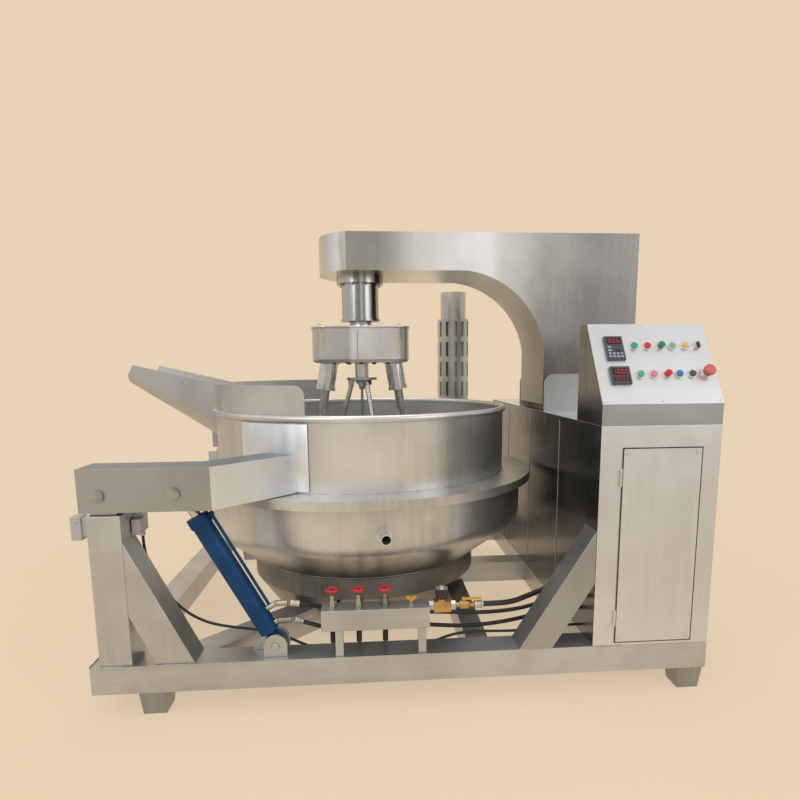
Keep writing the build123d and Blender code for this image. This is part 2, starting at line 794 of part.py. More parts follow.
def chimney_guard():
    wall = 2.5
    place = Pos(flue_x, flue_y, 0)
    height = guard_top_z - guard_low_z
    tube = place * Pos(0, 0, guard_low_z + height / 2) * (
        Cylinder(guard_radius, height) - Cylinder(guard_radius - wall, height + 2))
    tier = height / slot_tiers
    slot_height = tier * 0.72
    slot_width = 2 * math.pi * guard_radius / slots_round * 0.36
    bars = []
    for row in range(slot_tiers):
        z = guard_low_z + tier * (row + 0.5)
        for step in range(slots_round // 2):
            bars.append(place * Pos(0, 0, z) * Rot(0, 0, step * 360 / slots_round)
                        * Box(3 * guard_radius, slot_width, slot_height))
    tube -= bars
    for z in (guard_low_z, guard_top_z - wall):
        tube += place * Pos(0, 0, z + wall / 2) * (
            Cylinder(guard_radius, wall) - Cylinder(flue_radius + seat_gap, wall + 2))
    return [tube]


# ---------------------------------------------------------------- gas train
valve_y = -manifold_front + valve_setback


def gas_manifold():
    wall = 3.0
    y0, y1 = -manifold_front, -manifold_front + manifold_depth
    box = block(manifold_left, manifold_right, y0, y1, manifold_low_z, manifold_high_z)
    box -= block(manifold_left + wall, manifold_right - wall, y0 + wall, y1 - wall,
                 manifold_low_z - 1, manifold_high_z - wall)
    cover = block(manifold_left + wall, manifold_right - wall, y0 + wall, y1 - wall,
                  manifold_low_z, manifold_low_z + wall)
    legs = []
    for x in manifold_legs_x:
        half = manifold_leg_width / 2
        leg = block(x - half, x + half, y0, y0 + manifold_leg_width, rail_top, manifold_low_z)
        leg -= block(x - half + wall, x + half - wall, y0 + wall, y0 + manifold_leg_width - wall,
                     rail_top - 1, manifold_low_z + 1)
        legs.append(leg)
    return [box, cover] + legs


def valve_body(x):
    """A bonnet with its packing nut, bored for the spindle."""
    z = manifold_high_z
    steps = ((0, 6, 15), (6, 20, 10.5), (20, 28, 12.5), (28, 40, 8))
    body = None
    for low, high, radius in steps:
        if radius in (15, 12.5):
            piece = Pos(x, valve_y, z + low) * extrude(RegularPolygon(radius, 6), high - low)
        else:
            piece = rod((x, valve_y, z + low), (x, valve_y, z + high), radius)
        body = piece if body is None else body + piece
    return body - rod((x, valve_y, z + 14), (x, valve_y, z + 41), spindle_radius + running_gap)


spindle_radius = 4.0


def gas_valves():
    cock = rod((cock_x, valve_y, manifold_high_z), (cock_x, valve_y, manifold_high_z + 11), 9)
    return [valve_body(x) for x in valve_xs] + [cock]


def handwheel(x):
    rim = Pos(x, valve_y, wheel_z) * Torus(wheel_radius - 4, 4)
    hub = rod((x, valve_y, wheel_z - 5), (x, valve_y, wheel_z + 7), 6.5)
    spindle = rod((x, valve_y, manifold_high_z + 15), (x, valve_y, wheel_z), spindle_radius)
    wheel = rim + hub + spindle
    for angle in range(18, 378, 72):
        c, s = math.cos(math.radians(angle)), math.sin(math.radians(angle))
        wheel += rod((x, valve_y, wheel_z), (x + (wheel_radius - 4) * c, valve_y + (wheel_radius - 4) * s, wheel_z), 2.6)
    return [wheel]


def wing_handle():
    low = manifold_high_z + 11 + seat_gap
    hub = rod((cock_x, valve_y, low), (cock_x, valve_y, low + 12), 7)
    wings = side_plate([(cock_x - 19, low + 15), (cock_x - 6, low + 2), (cock_x + 6, low + 2),
                        (cock_x + 19, low + 15), (cock_x + 9, low + 17), (cock_x, low + 10), (cock_x - 9, low + 17)],
                       valve_y - 4, valve_y + 4)
    return [hub + wings]


union_length = 15.0


def hexagon(x0, x1, z, radius):
    """A hexagonal nut along X."""
    place = Plane(origin=(x0, valve_y, z), z_dir=(1, 0, 0))
    return extrude(place * RegularPolygon(radius, 6), x1 - x0)


def solenoid_body():
    left = manifold_right
    body_left = left + union_length
    body_right = solenoid_x + 30
    body = block(body_left, body_right, valve_y - 17, valve_y + 17, solenoid_z - 21, solenoid_z + 15)
    body += rod((solenoid_x, valve_y, solenoid_z), (solenoid_x, valve_y, solenoid_z + 22), 16)
    body += hexagon(body_right, body_right + union_length, solenoid_z - 4, 15)
    body += rod((body_right, valve_y, solenoid_z - 4), (lever_x + 34, valve_y, solenoid_z - 4), 8)
    body += rod((lever_x - 14, valve_y, solenoid_z - 4), (lever_x + 14, valve_y, solenoid_z - 4), 14)
    body += rod((lever_x, valve_y, solenoid_z - 4), (lever_x, valve_y, solenoid_z + 14), 7)
    union = hexagon(left, body_left, solenoid_z - 4, 16)
    return [body, union]


def solenoid_coil():
    base = solenoid_z + 22
    coil = block(solenoid_x - 19, solenoid_x + 19, valve_y - 17, valve_y + 17, base, base + 34)
    nut = rod((solenoid_x, valve_y, base + 34), (solenoid_x, valve_y, base + 42), 8)
    return [fillet(coil.edges().filter_by(Axis.Z), 6), nut]


def main_cock_lever():
    low = solenoid_z + 14 + seat_gap
    hub = rod((lever_x, valve_y, low), (lever_x, valve_y, low + 5), 8)
    bar = block(lever_x, lever_x + 58, valve_y - 6, valve_y + 6, low, low + 4)
    return [hub + bar]


# ---------------------------------------------------------------- cabinet
def cabinet_body():
    wall = 3.0
    y = frame_half_depth
    shell = block(cabinet_left, cabinet_right, -y, y, rail_top, cabinet_top_z)
    shell -= block(cabinet_left + wall, cabinet_right - wall, -y + wall, y - wall, rail_top - 1, cabinet_top_z - wall)
    shell -= block(panel_left + 15, panel_right - 15, -y - 1, -y + wall + 1, panel_low_z + 15, panel_high_z - 15)
    return [shell]


def cabinet_front_panel():
    y = frame_half_depth
    panel = block(panel_left, panel_right, -y - panel_thick, -y, panel_low_z, panel_high_z)
    return [fillet(panel.edges().filter_by(Axis.Y), 10)]


def panel_screws():
    screws = []
    y = -frame_half_depth - panel_thick
    inset = 16
    for x in (panel_left + inset, panel_right - inset):
        for z in (panel_low_z + inset, panel_high_z - inset):
            screws.append(rod((x, y - 3, z), (x, y, z), 6))
    return screws


def console_outline(inset):
    """The console seen from the left: points (y, z)."""
    front = -frame_half_depth + inset
    return [
        (front, cabinet_top_z - (1 if inset else 0)),
        (front, console_low_z - inset * 0.4),
        (-console_top_front + inset * 0.4, console_top_z - inset),
        (-console_back - inset, console_top_z - inset),
        (-console_back - inset, cabinet_top_z - (1 if inset else 0)),
    ]


def across_x(points, x0, x1):
    outline = make_face(Polyline([(x0, y, z) for y, z in points], close=True))
    return extrude(outline, x1 - x0, dir=(1, 0, 0))


def console_housing():
    wall = 3.0
    shell = across_x(console_outline(0), cabinet_left, cabinet_right)
    shell -= across_x(console_outline(wall), cabinet_left + wall, cabinet_right - wall)
    return [shell]


slope_run = frame_half_depth - console_top_front
slope_rise = console_top_z - console_low_z
slope_length = math.hypot(slope_run, slope_rise)
face_plate = 2.0
panel_plane = Plane(origin=(cabinet_left, -frame_half_depth, console_low_z), x_dir=(1, 0, 0),
                    z_dir=(0, -slope_rise, slope_run))


def on_panel(u, v, height=0.0):
    """A place on the face plate: u to the right, v up the slope."""
    return panel_plane * Pos(u, v, face_plate + height)


def console_panel():
    wide = cabinet_right - cabinet_left
    plate = panel_plane * Pos(wide / 2, slope_length / 2, face_plate / 2) * Box(wide, slope_length, face_plate)
    return [plate]


def console_instruments():
    keypad = on_panel(73, 203, 4) * Box(60, 88, 8)
    keypad += on_panel(84, 196, 11) * Cylinder(7, 6)
    meter = on_panel(74, 101, 5) * Box(63, 62, 10)
    return [keypad, meter]


row_high, row_low = 211.0, 105.0
button_us = (140, 184, 230, 269, 312, 354)
stop_u = 362.0
bezel_radius = 15.0
cap_radius = 11.0
bezel_height = 7.5
stop_travel = 6.0
travel_gap = 4.5


def button_places():
    high = [(u, row_high) for u in button_us]
    low = [(u, row_low) for u in button_us[:5]]
    return high, low


def button_bezels():
    bezels = []
    high, low = button_places()
    for u, v in high + low + [(stop_u, row_low + 4)]:
        ring_shape = Cylinder(bezel_radius, bezel_height) - Cylinder(cap_radius + running_gap, bezel_height + 2)
        bezels.append(on_panel(u, v, bezel_height / 2) * ring_shape)
    return bezels


def push_button(u, v, height):
    cap = on_panel(u, v, travel_gap + height / 2) * Cylinder(cap_radius, height)
    top = cap.faces().sort_by(Axis((0, 0, 0), panel_plane.z_dir))[-1].edges()
    return [fillet(top, 1.6)]


def indicator_lamps():
    lamps = []
    for u in button_us[3:5]:
        body = on_panel(u, row_high, 5) * Cylinder(cap_radius, 10)
        top = body.faces().sort_by(Axis((0, 0, 0), panel_plane.z_dir))[-1].edges()
        lamps.append(fillet(top, 3))
    return lamps


def selector_switch():
    u, v = button_us[5], row_high
    knob = on_panel(u, v, 4) * Cylinder(cap_radius, 7)
    knob += on_panel(u, v, 12) * Box(6, 19, 10)
    return [knob]


def emergency_stop():
    u, v = stop_u, row_low + 4
    stem_low, stem_top = stop_travel + seat_gap, 19
    stem = on_panel(u, v, (stem_low + stem_top) / 2) * Cylinder(cap_radius, stem_top - stem_low)
    head = on_panel(u, v, 24) * Cylinder(19, 11)
    top = head.faces().sort_by(Axis((0, 0, 0), panel_plane.z_dir))[-1].edges()
    return [stem + fillet(top, 5)]


# ---------------------------------------------------------------- arm
def arm_cheeks():
    """Two cheek plates on the cabinet and the pin that the arm turns on."""
    pieces = []
    for side in (-1, 1):
        y0, y1 = side * cheek_setback, side * (cheek_setback + cheek_thick)
        plate = block(cabinet_left, cabinet_right - 15, y0, y1, cabinet_top_z, cheek_top_z)
        plate = fillet(plate.edges().filter_by(Axis.Y).sort_by(Axis.Z)[-2:], 40)
        plate -= rod((arm_pivot_x, -300, arm_pivot_z), (arm_pivot_x, 300, arm_pivot_z), arm_pin_radius)
        pieces.append(plate)
    reach = cheek_setback + cheek_thick + 6
    pieces.append(rod((arm_pivot_x, -reach, arm_pivot_z), (arm_pivot_x, reach, arm_pivot_z), arm_pin_radius))
    return pieces


def arm_outline(inset):
    """The gooseneck seen from the front: a wire in the XZ plane at y = 0."""
    left = arm_end_x + inset
    top = arm_top_z - inset
    right = arm_right - inset
    under = arm_under_z + inset
    col = arm_column_left + inset
    low = arm_low_z - (2 if inset else 0)
    mid_x = arm_bend_start_x + 0.66 * (arm_column_left - arm_bend_start_x) + inset * 0.7
    mid_z = arm_bend_low_z + 0.68 * (arm_under_z - arm_bend_low_z) + inset * 0.7
    edges = [
        Line((left, 0, top), (right, 0, top)),
        Line((right, 0, top), (right, 0, low)),
        Line((right, 0, low), (col, 0, low)),
        Line((col, 0, low), (col, 0, arm_bend_low_z)),
        ThreePointArc((col, 0, arm_bend_low_z), (mid_x, 0, mid_z), (arm_bend_start_x, 0, under)),
        Line((arm_bend_start_x, 0, under), (left, 0, under)),
        Line((left, 0, under), (left, 0, top)),
    ]
    return make_face(Wire(edges))


def arm_plan(inset):
    """The arm seen from above: straight sides and a rounded free end."""
    half = arm_half_width - inset
    right = arm_right + sheet
    edges = [
        Line((right, -half, 0), (right, half, 0)),
        Line((right, half, 0), (arm_end_flat_x, half, 0)),
        ThreePointArc((arm_end_flat_x, half, 0), (arm_end_x + inset, 0, 0), (arm_end_flat_x, -half, 0)),
        Line((arm_end_flat_x, -half, 0), (right, -half, 0)),
    ]
    return make_face(Wire(edges))


def arm_solid(inset):
    half = arm_half_width - inset
    body = extrude(Pos(0, -half, 0) * arm_outline(inset), 2 * half, dir=(0, 1, 0))
    low = arm_low_z - sheet
    return body & extrude(Pos(0, 0, low) * arm_plan(inset), arm_top_z + sheet - low)


def arm_housing():
    wall = arm_wall
    shell = arm_solid(0) - arm_solid(wall)
    shell -= rod((arm_pivot_x, -300, arm_pivot_z), (arm_pivot_x, 300, arm_pivot_z), boss_radius + seat_gap)
    shell -= rod((0, 0, arm_under_z - 1), (0, 0, arm_under_z + wall + 1), column_radius)
    corner = block(arm_right - 45, arm_right + 1, -200, 200, arm_low_z - 1, arm_low_z + 45)
    corner -= rod((arm_right - 45, -201, arm_low_z + 45), (arm_right - 45, 201, arm_low_z + 45), 45)
    return [(shell - corner).solids().sort_by(SortBy.VOLUME)[-1]]


def arm_frame():
    """The box frame inside the column that carries the arm on its pin."""
    wall = 8.0
    h = arm_frame_half
    x0, x1 = arm_column_left + 10, arm_pivot_x + 10
    frame = block(x0, x1, -h, h, cabinet_top_z + 6, arm_pivot_z + arm_frame_half)
    frame -= block(x0 + wall, x1 - wall, -h + wall, h - wall, cabinet_top_z, arm_pivot_z + arm_frame_half + wall)
    for side in (-1, 1):
        frame += rod((arm_pivot_x, side * (h - wall), arm_pivot_z),
                     (arm_pivot_x, side * (cheek_setback - seat_gap), arm_pivot_z), boss_radius)
    frame -= rod((arm_pivot_x, -300, arm_pivot_z), (arm_pivot_x, 300, arm_pivot_z), arm_pin_radius + running_gap)
    for side in (-1, 1):
        rail = block(x0 - 1, x1, side * (h - wall), side * h, arm_pivot_z + arm_frame_half, arm_under_z)
        frame += rail
    return [frame]


def stirrer_drive():
    """The geared motor inside the arm."""
    low = arm_under_z + arm_wall + seat_gap
    middle = arm_under_z + arm_beam_depth / 2
    half = 1.5 * motor_radius
    gearbox = block(-half, half, -half, half, low, middle + 0.8 * motor_radius)
    motor = rod((half, 0, middle), (6.4 * motor_radius, 0, middle), motor_radius)
    gearbox -= rod((0, 0, low - 1), (0, 0, middle + motor_radius / 2), shaft_radius + running_gap)
    return [gearbox + motor]


def drive_column():
    flange_low = arm_under_z - flange_thick
    bore = shaft_radius + 15
    flange = rod((0, 0, flange_low), (0, 0, arm_under_z), flange_radius)
    column = rod((0, 0, column_low_z), (0, 0, flange_low), column_radius)
    column += rod((0, 0, column_low_z), (0, 0, column_low_z + 10), column_radius + 5)
    body = flange + column
    body -= rod((0, 0, column_low_z - 1), (0, 0, arm_under_z + 1), bore)
    for low, high in ((column_low_z, column_low_z + 22), (flange_low, arm_under_z)):
        body += pipe((0, 0, low), (0, 0, high), bore, shaft_radius + running_gap)
    for step in range(8):
        a = math.radians(22.5 + 45 * step)
        r = (flange_radius + column_radius) / 2
        body += Pos(r * math.cos(a), r * math.sin(a), flange_low - 6) * extrude(RegularPolygon(7, 6), 6)
    return [body]


# ---------------------------------------------------------------- planetary head
def head_housing():
    wall = 6.0
    place = Pos(0, 0, (head_top_z + head_low_z) / 2)
    height = head_top_z - head_low_z
    outer = place * Box(2 * head_half_x, 2 * head_half_y, height)
    outer = fillet(outer.edges().filter_by(Axis.Z), head_corner)
    outer = fillet(outer.faces().sort_by(Axis.Z)[0].edges(), 16)
    inner = place * Pos(0, 0, -wall) * Box(2 * (head_half_x - wall), 2 * (head_half_y - wall), height)
    inner = fillet(inner.edges().filter_by(Axis.Z), head_corner - wall)
    inner &= place * Pos(0, 0, 0) * Box(900, 900, height - 2 * wall)
    body = outer - inner
    lid = Pos(0, 0, head_top_z + 4) * Box(2 * head_half_x + 8, 2 * head_half_y + 8, 8)
    lid = fillet(lid.edges().filter_by(Axis.Z), head_corner + 4)
    neck = rod((0, 0, head_top_z + 8), (0, 0, column_low_z - seat_gap), neck_radius)
    shaft = rod((0, 0, column_low_z - 5), (0, 0, arm_under_z + arm_beam_depth / 2), shaft_radius)
    for x in (-head_half_x + 30, head_half_x - 42):
        lid += rod((x, -head_half_y + 40, head_top_z + 8), (x, -head_half_y + 40, head_top_z + 20), 7)
    return [body + lid + neck + shaft]


def leaned(side, distance):
    """A point of an outer tool's leaning axis, measured from the head's underside."""
    a = math.radians(leg_lean)
    return (side * (leg_offset + distance * math.sin(a)), 0, head_low_z - distance * math.cos(a))


def head_legs():
    legs = []
    trim = block(-300, 300, -300, 300, head_low_z - seat_gap, head_low_z + 100)
    for side in (-1, 1):
        sleeve = rod(leaned(side, -20), leaned(side, leg_length), leg_top_radius)
        sleeve += rod(leaned(side, leg_length - 10), leaned(side, leg_length + 4), leg_top_radius + 3)
        bore = tool_rod_radius + running_gap
        sleeve -= rod(leaned(side, leg_length - 60), leaned(side, leg_length + 20), bore)
        legs.append(sleeve - trim)
    centre = rod((0, 0, head_low_z - whisk_disc_drop), (0, 0, head_low_z - seat_gap), 30)
    centre -= rod((0, 0, head_low_z - whisk_disc_drop - 1), (0, 0, head_low_z - 20), 12 + running_gap)
    legs.append(centre)
    return legs


def dish_band(gap, depth):
    """A band that follows the inside of the kettle's dish."""
    outer = dome(pot_inner - gap, knuckle_radius - pot_wall - gap, crown_radius - pot_wall - gap, dish_top_z, rim_z)
    inner = dome(pot_inner - gap - depth, knuckle_radius - pot_wall - gap - depth,
                 crown_radius - pot_wall - gap - depth, dish_top_z, rim_z + 1)
    return outer - inner


def blade_point(x):
    """The middle of the scraper's blade at one distance from the kettle's axis."""
    crown = crown_radius - pot_wall
    centre_z = dish_top_z + math.sqrt((crown_radius - knuckle_radius) ** 2 - (pot_radius - knuckle_radius) ** 2)
    return (-x, 0, centre_z - math.sqrt((crown - blade_gap - blade_depth / 2) ** 2 - x ** 2))


def wall_scraper():
    blade = dish_band(blade_gap, blade_depth)
    blade &= block(-scraper_outer_x, -scraper_inner_x, -blade_gap, blade_gap, jacket_foot_z, dish_top_z)
    stem_top, stem_low = leaned(-1, leg_length - 59), leaned(-1, tool_stem)
    stem = rod(stem_top, stem_low, tool_rod_radius)
    elbow = (-scraper_elbow_x, 0, scraper_elbow_z)
    foot = blade_point(scraper_foot_x)
    high = blade_point(scraper_high_x)
    arm = rod(stem_low, elbow, 11) + Pos(*elbow) * Sphere(11)
    arm += rod(elbow, foot, 10) + rod(elbow, high, 10)
    joined = stem + Pos(*stem_low) * Sphere(tool_rod_radius) + arm + blade
    return [joined]


def side_stirrer():
    stem = rod(leaned(1, leg_length - 59), leaned(1, tool_stem), tool_rod_radius)
    stem += rod(leaned(1, tool_stem), leaned(1, stirrer_reach), 11)
    place = Plane(origin=leaned(1, paddle_centre), x_dir=(0, 1, 0), z_dir=(math.cos(math.radians(leg_lean)), 0,
                                                               math.sin(math.radians(leg_lean))))
    frame = Box(2 * paddle_half, paddle_length, paddle_bar / 2)
    frame -= Box(2 * (paddle_half - paddle_bar), paddle_length - 2 * paddle_bar, paddle_bar)
    return [stem + place * frame]


def centre_whisk():
    disc_z = head_low_z - whisk_disc_drop
    top = rod((0, 0, disc_z - 3), (0, 0, head_low_z - 21), 12)
    disc = Pos(0, 0, disc_z - 6) * Cylinder(whisk_disc_radius, 10)
    whole = top + disc
    for angle in (180, 300, 60):
        c, s = math.cos(math.radians(angle)), math.sin(math.radians(angle))
        shoulder = (38 * c, 38 * s, disc_z - 6)
        knee = (whisk_knee_radius * c, whisk_knee_radius * s, whisk_knee_z)
        foot = (whisk_foot_radius * c, whisk_foot_radius * s, whisk_low_z)
        whole += rod(shoulder, knee, 10) + Pos(*knee) * Sphere(10) + rod(knee, foot, 8)
    whole += Pos(0, 0, whisk_low_z) * Torus(whisk_foot_radius, 8)
    whole += rod((0, 0, disc_z - 8), (0, 0, whisk_low_z + 40), 6)
    return [whole]


# ---------------------------------------------------------------- hoses and cable
hose_high_route = [
    (fitting_high_x + hose_play, -743, 341), (-196, -739, 334), (-140, -703, 305), (-40, -688, 278),
    (90, -684, 268), (240, -676, 262), (400, -662, 244), (540, -648, 246), (640, -641, 270),
    (705, -640, 285), (cabinet_left, -640, 285),
]
hose_low_route = [
    (fitting_low_x + hose_play, -743, 284), (-187, -741, 270), (-120, -722, 238), (0, -696, 240),
    (110, -689, 238), (230, -682, 216), (370, -668, 200), (510, -652, 206), (630, -641, 228),
    (712, -638, 240), (cabinet_left, -638, 240),
]
gas_hose_route = [
    (lever_x + 34, valve_y, solenoid_z - 4), (424, valve_y, solenoid_z - 4), (500, -716, 303),
    (576, -668, 306), (652, -649, 326), (705, -648, 337), (cabinet_left, -648, 337),
]
switch_cable_route = [
    (switch_gland_x, switch_gland_y, switch_gland_z), (switch_gland_x, switch_gland_y, 520), (-698, -672, 450),
    (-655, -672, 368), (-600, -674, 300), (-530, -673, 254), (-450, -672, 233), (-367, -672, 222),
    (-275, -674, 198), (-186, -678, 152), (-90, -682, 128), (20, -683, 123), (130, -681, 131),
    (230, -684, 154), (310, -686, 185), (400, -686, 189), (500, -680, 181), (610, -666, 178),
    (690, -660, 186), (cabinet_left, -660, 186),
]


def cord_tube(name, route, diameter):
    """A tube along straight runs joined by arcs as large as the runs allow."""
    points = [Vector(*p) for p in route]
    radii = []
    for before, here, after in zip(points, points[1:], points[2:]):
        first, second = here - before, after - here
        half_turn = math.radians(first.get_angle(second) / 2)
        radii.append(0.45 * min(first.length, second.length) / math.tan(half_turn))
    path = FilletPolyline(*points, radius=radii)
    tube = sweep(Plane(origin=path @ 0, z_dir=path % 0) * Circle(diameter / 2), path=path)
    section = math.pi * diameter ** 2 / 4
    print(name, "length", round(path.length), "smallest radius", round(min(radii)),
          "volume ratio", round(tube.volume / (section * path.length), 4))
    return [tube]


high_row, low_row = button_places()
button_height = 7.0
raised_height = 13.0

for name, pieces in (
    ("base_frame", base_frame()),
    ("base_feet", base_feet()),
    ("side_stands", side_stands()),
    ("cabinet_braces", cabinet_braces()),
    ("limit_switch", limit_switch()),
    ("cylinder_mounts", cylinder_mounts()),
    ("cylinder_barrels", cylinder_barrels()),
    ("cylinder_fittings", cylinder_fittings()),
    ("cylinder_rods", cylinder_rods()),
    ("tilt_beams", tilt_beams()),
    ("tilt_pins", tilt_pins()),
    ("kettle_bowl", kettle_bowl()),
    ("pouring_spout", pouring_spout()),
    ("splash_guards", splash_guards()),
    ("kettle_jacket", kettle_jacket()),
    ("drain_port", drain_port()),
    ("furnace_shell", furnace_shell()),
    ("burner_ring", burner_ring()),
    ("chimney_flue", chimney_flue()),
    ("chimney_guard", chimney_guard()),
    ("gas_manifold", gas_manifold()),
    ("gas_valves", gas_valves() + gas_pipes()),
    ("handwheel_left", handwheel(valve_xs[0])),
    ("handwheel_middle", handwheel(valve_xs[1])),
    ("handwheel_right", handwheel(valve_xs[2])),
    ("pilot_cock_wing", wing_handle()),
    ("solenoid_valve", solenoid_body() + solenoid_coil()),
    ("main_cock_lever", main_cock_lever()),
    ("cabinet_body", cabinet_body()),
    ("cabinet_front_panel", cabinet_front_panel()),
    ("panel_screws", panel_screws()),
    ("console_housing", console_housing()),
    ("console_panel", console_panel()),
    ("console_instruments", console_instruments()),
    ("button_bezels", button_bezels()),
    ("indicator_lamps", indicator_lamps()),
    ("stirrer_start_button", push_button(*high_row[0], button_height)),
    ("stirrer_stop_button", push_button(*high_row[1], button_height)),
    ("arm_up_button", push_button(*high_row[2], raised_height)),
    ("selector_switch", selector_switch()),
    ("tilt_up_button", push_button(*low_row[0], button_height)),
    ("tilt_down_button", push_button(*low_row[1], button_height)),
    ("burner_stop_button", push_button(*low_row[2], raised_height)),
    ("arm_down_button", push_button(*low_row[3], button_height)),
    ("reset_button", push_button(*low_row[4], button_height)),
    ("emergency_stop", emergency_stop()),
    ("arm_cheeks", arm_cheeks()),
    ("arm_housing", arm_housing()),
    ("arm_frame", arm_frame()),
    ("stirrer_drive", stirrer_drive()),
    ("drive_column", drive_column()),
    ("head_housing", head_housing()),
    ("head_legs", head_legs()),
    ("wall_scraper", wall_scraper()),
    ("side_stirrer", side_stirrer()),
    ("centre_whisk", centre_whisk()),
    ("hydraulic_hose_high", cord_tube("hydraulic_hose_high", hose_high_route, hose_diameter)),
    ("hydraulic_hose_low", cord_tube("hydraulic_hose_low", hose_low_route, hose_diameter)),
    ("gas_hose", cord_tube("gas_hose", gas_hose_route, gas_hose_diameter)),
    ("switch_cable", cord_tube("switch_cable", switch_cable_route, cable_diameter)),
):
    node(name, *pieces)

for name, shape in nodes.items():
    export_step(shape, f"parts/{name}.step")
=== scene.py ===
import math
import random

import bmesh
import bpy
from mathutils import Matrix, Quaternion, Vector


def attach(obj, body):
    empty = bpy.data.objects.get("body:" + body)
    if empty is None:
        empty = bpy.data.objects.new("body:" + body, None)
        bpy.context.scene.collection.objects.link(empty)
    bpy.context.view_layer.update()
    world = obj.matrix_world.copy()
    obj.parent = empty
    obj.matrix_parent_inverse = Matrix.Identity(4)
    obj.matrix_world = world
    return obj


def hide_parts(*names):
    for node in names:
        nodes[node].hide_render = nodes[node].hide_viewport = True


# Looks of the tilting jacketed cooking kettle: its materials, hoses and small pieces, the
# camera and the light. Metres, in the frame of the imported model: the origin is on the floor
# under the kettle's axis, +Z is up, and the operator stands at -Y.

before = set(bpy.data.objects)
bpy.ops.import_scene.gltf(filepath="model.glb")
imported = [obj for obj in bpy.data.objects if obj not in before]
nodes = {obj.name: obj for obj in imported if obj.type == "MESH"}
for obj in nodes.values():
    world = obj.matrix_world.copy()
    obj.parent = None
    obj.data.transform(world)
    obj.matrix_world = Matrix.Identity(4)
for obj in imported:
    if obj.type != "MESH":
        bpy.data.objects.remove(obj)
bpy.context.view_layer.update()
random.seed(7)

# ---------------------------------------------------------------- camera
image_size = 800
focal_pixels = 570
principal_x, principal_y = 412, 456
camera_place = Vector((0.034, -2.524, 1.089))
camera_yaw = math.radians(4.15)
camera_pitch = math.radians(-8.73)
camera_roll = math.radians(-0.47)


def make_camera():
    """The photo's view point, matched by its lens, the place of its centre and its turn."""
    data = bpy.data.cameras.new("camera")
    data.sensor_width = 36
    data.lens = focal_pixels / image_size * data.sensor_width
    data.shift_x = (image_size / 2 - principal_x) / image_size
    data.shift_y = (principal_y - image_size / 2) / image_size
    camera = bpy.data.objects.new("camera", data)
    bpy.context.scene.collection.objects.link(camera)
    bpy.context.scene.camera = camera
    forward = Vector((math.sin(camera_yaw) * math.cos(camera_pitch),
                      math.cos(camera_yaw) * math.cos(camera_pitch), math.sin(camera_pitch)))
    camera.location = camera_place
    camera.rotation_mode = "QUATERNION"
    turn = Quaternion((0, 0, 1), camera_roll)
    camera.rotation_quaternion = forward.to_track_quat("-Z", "Y") @ turn
    data.clip_start, data.clip_end = 0.05, 60


make_camera()


# ---------------------------------------------------------------- materials
def set_stops(ramp, stops):
    """Gives a colour ramp its colours, or greys written as one number, at places 0 to 1."""
    while len(ramp.elements) < len(stops):
        ramp.elements.new(0.5)
    for element, (where, colour) in zip(ramp.elements, stops):
        element.position = where
        element.color = (*colour, 1) if hasattr(colour, "__len__") else (*[colour] * 3, 1)


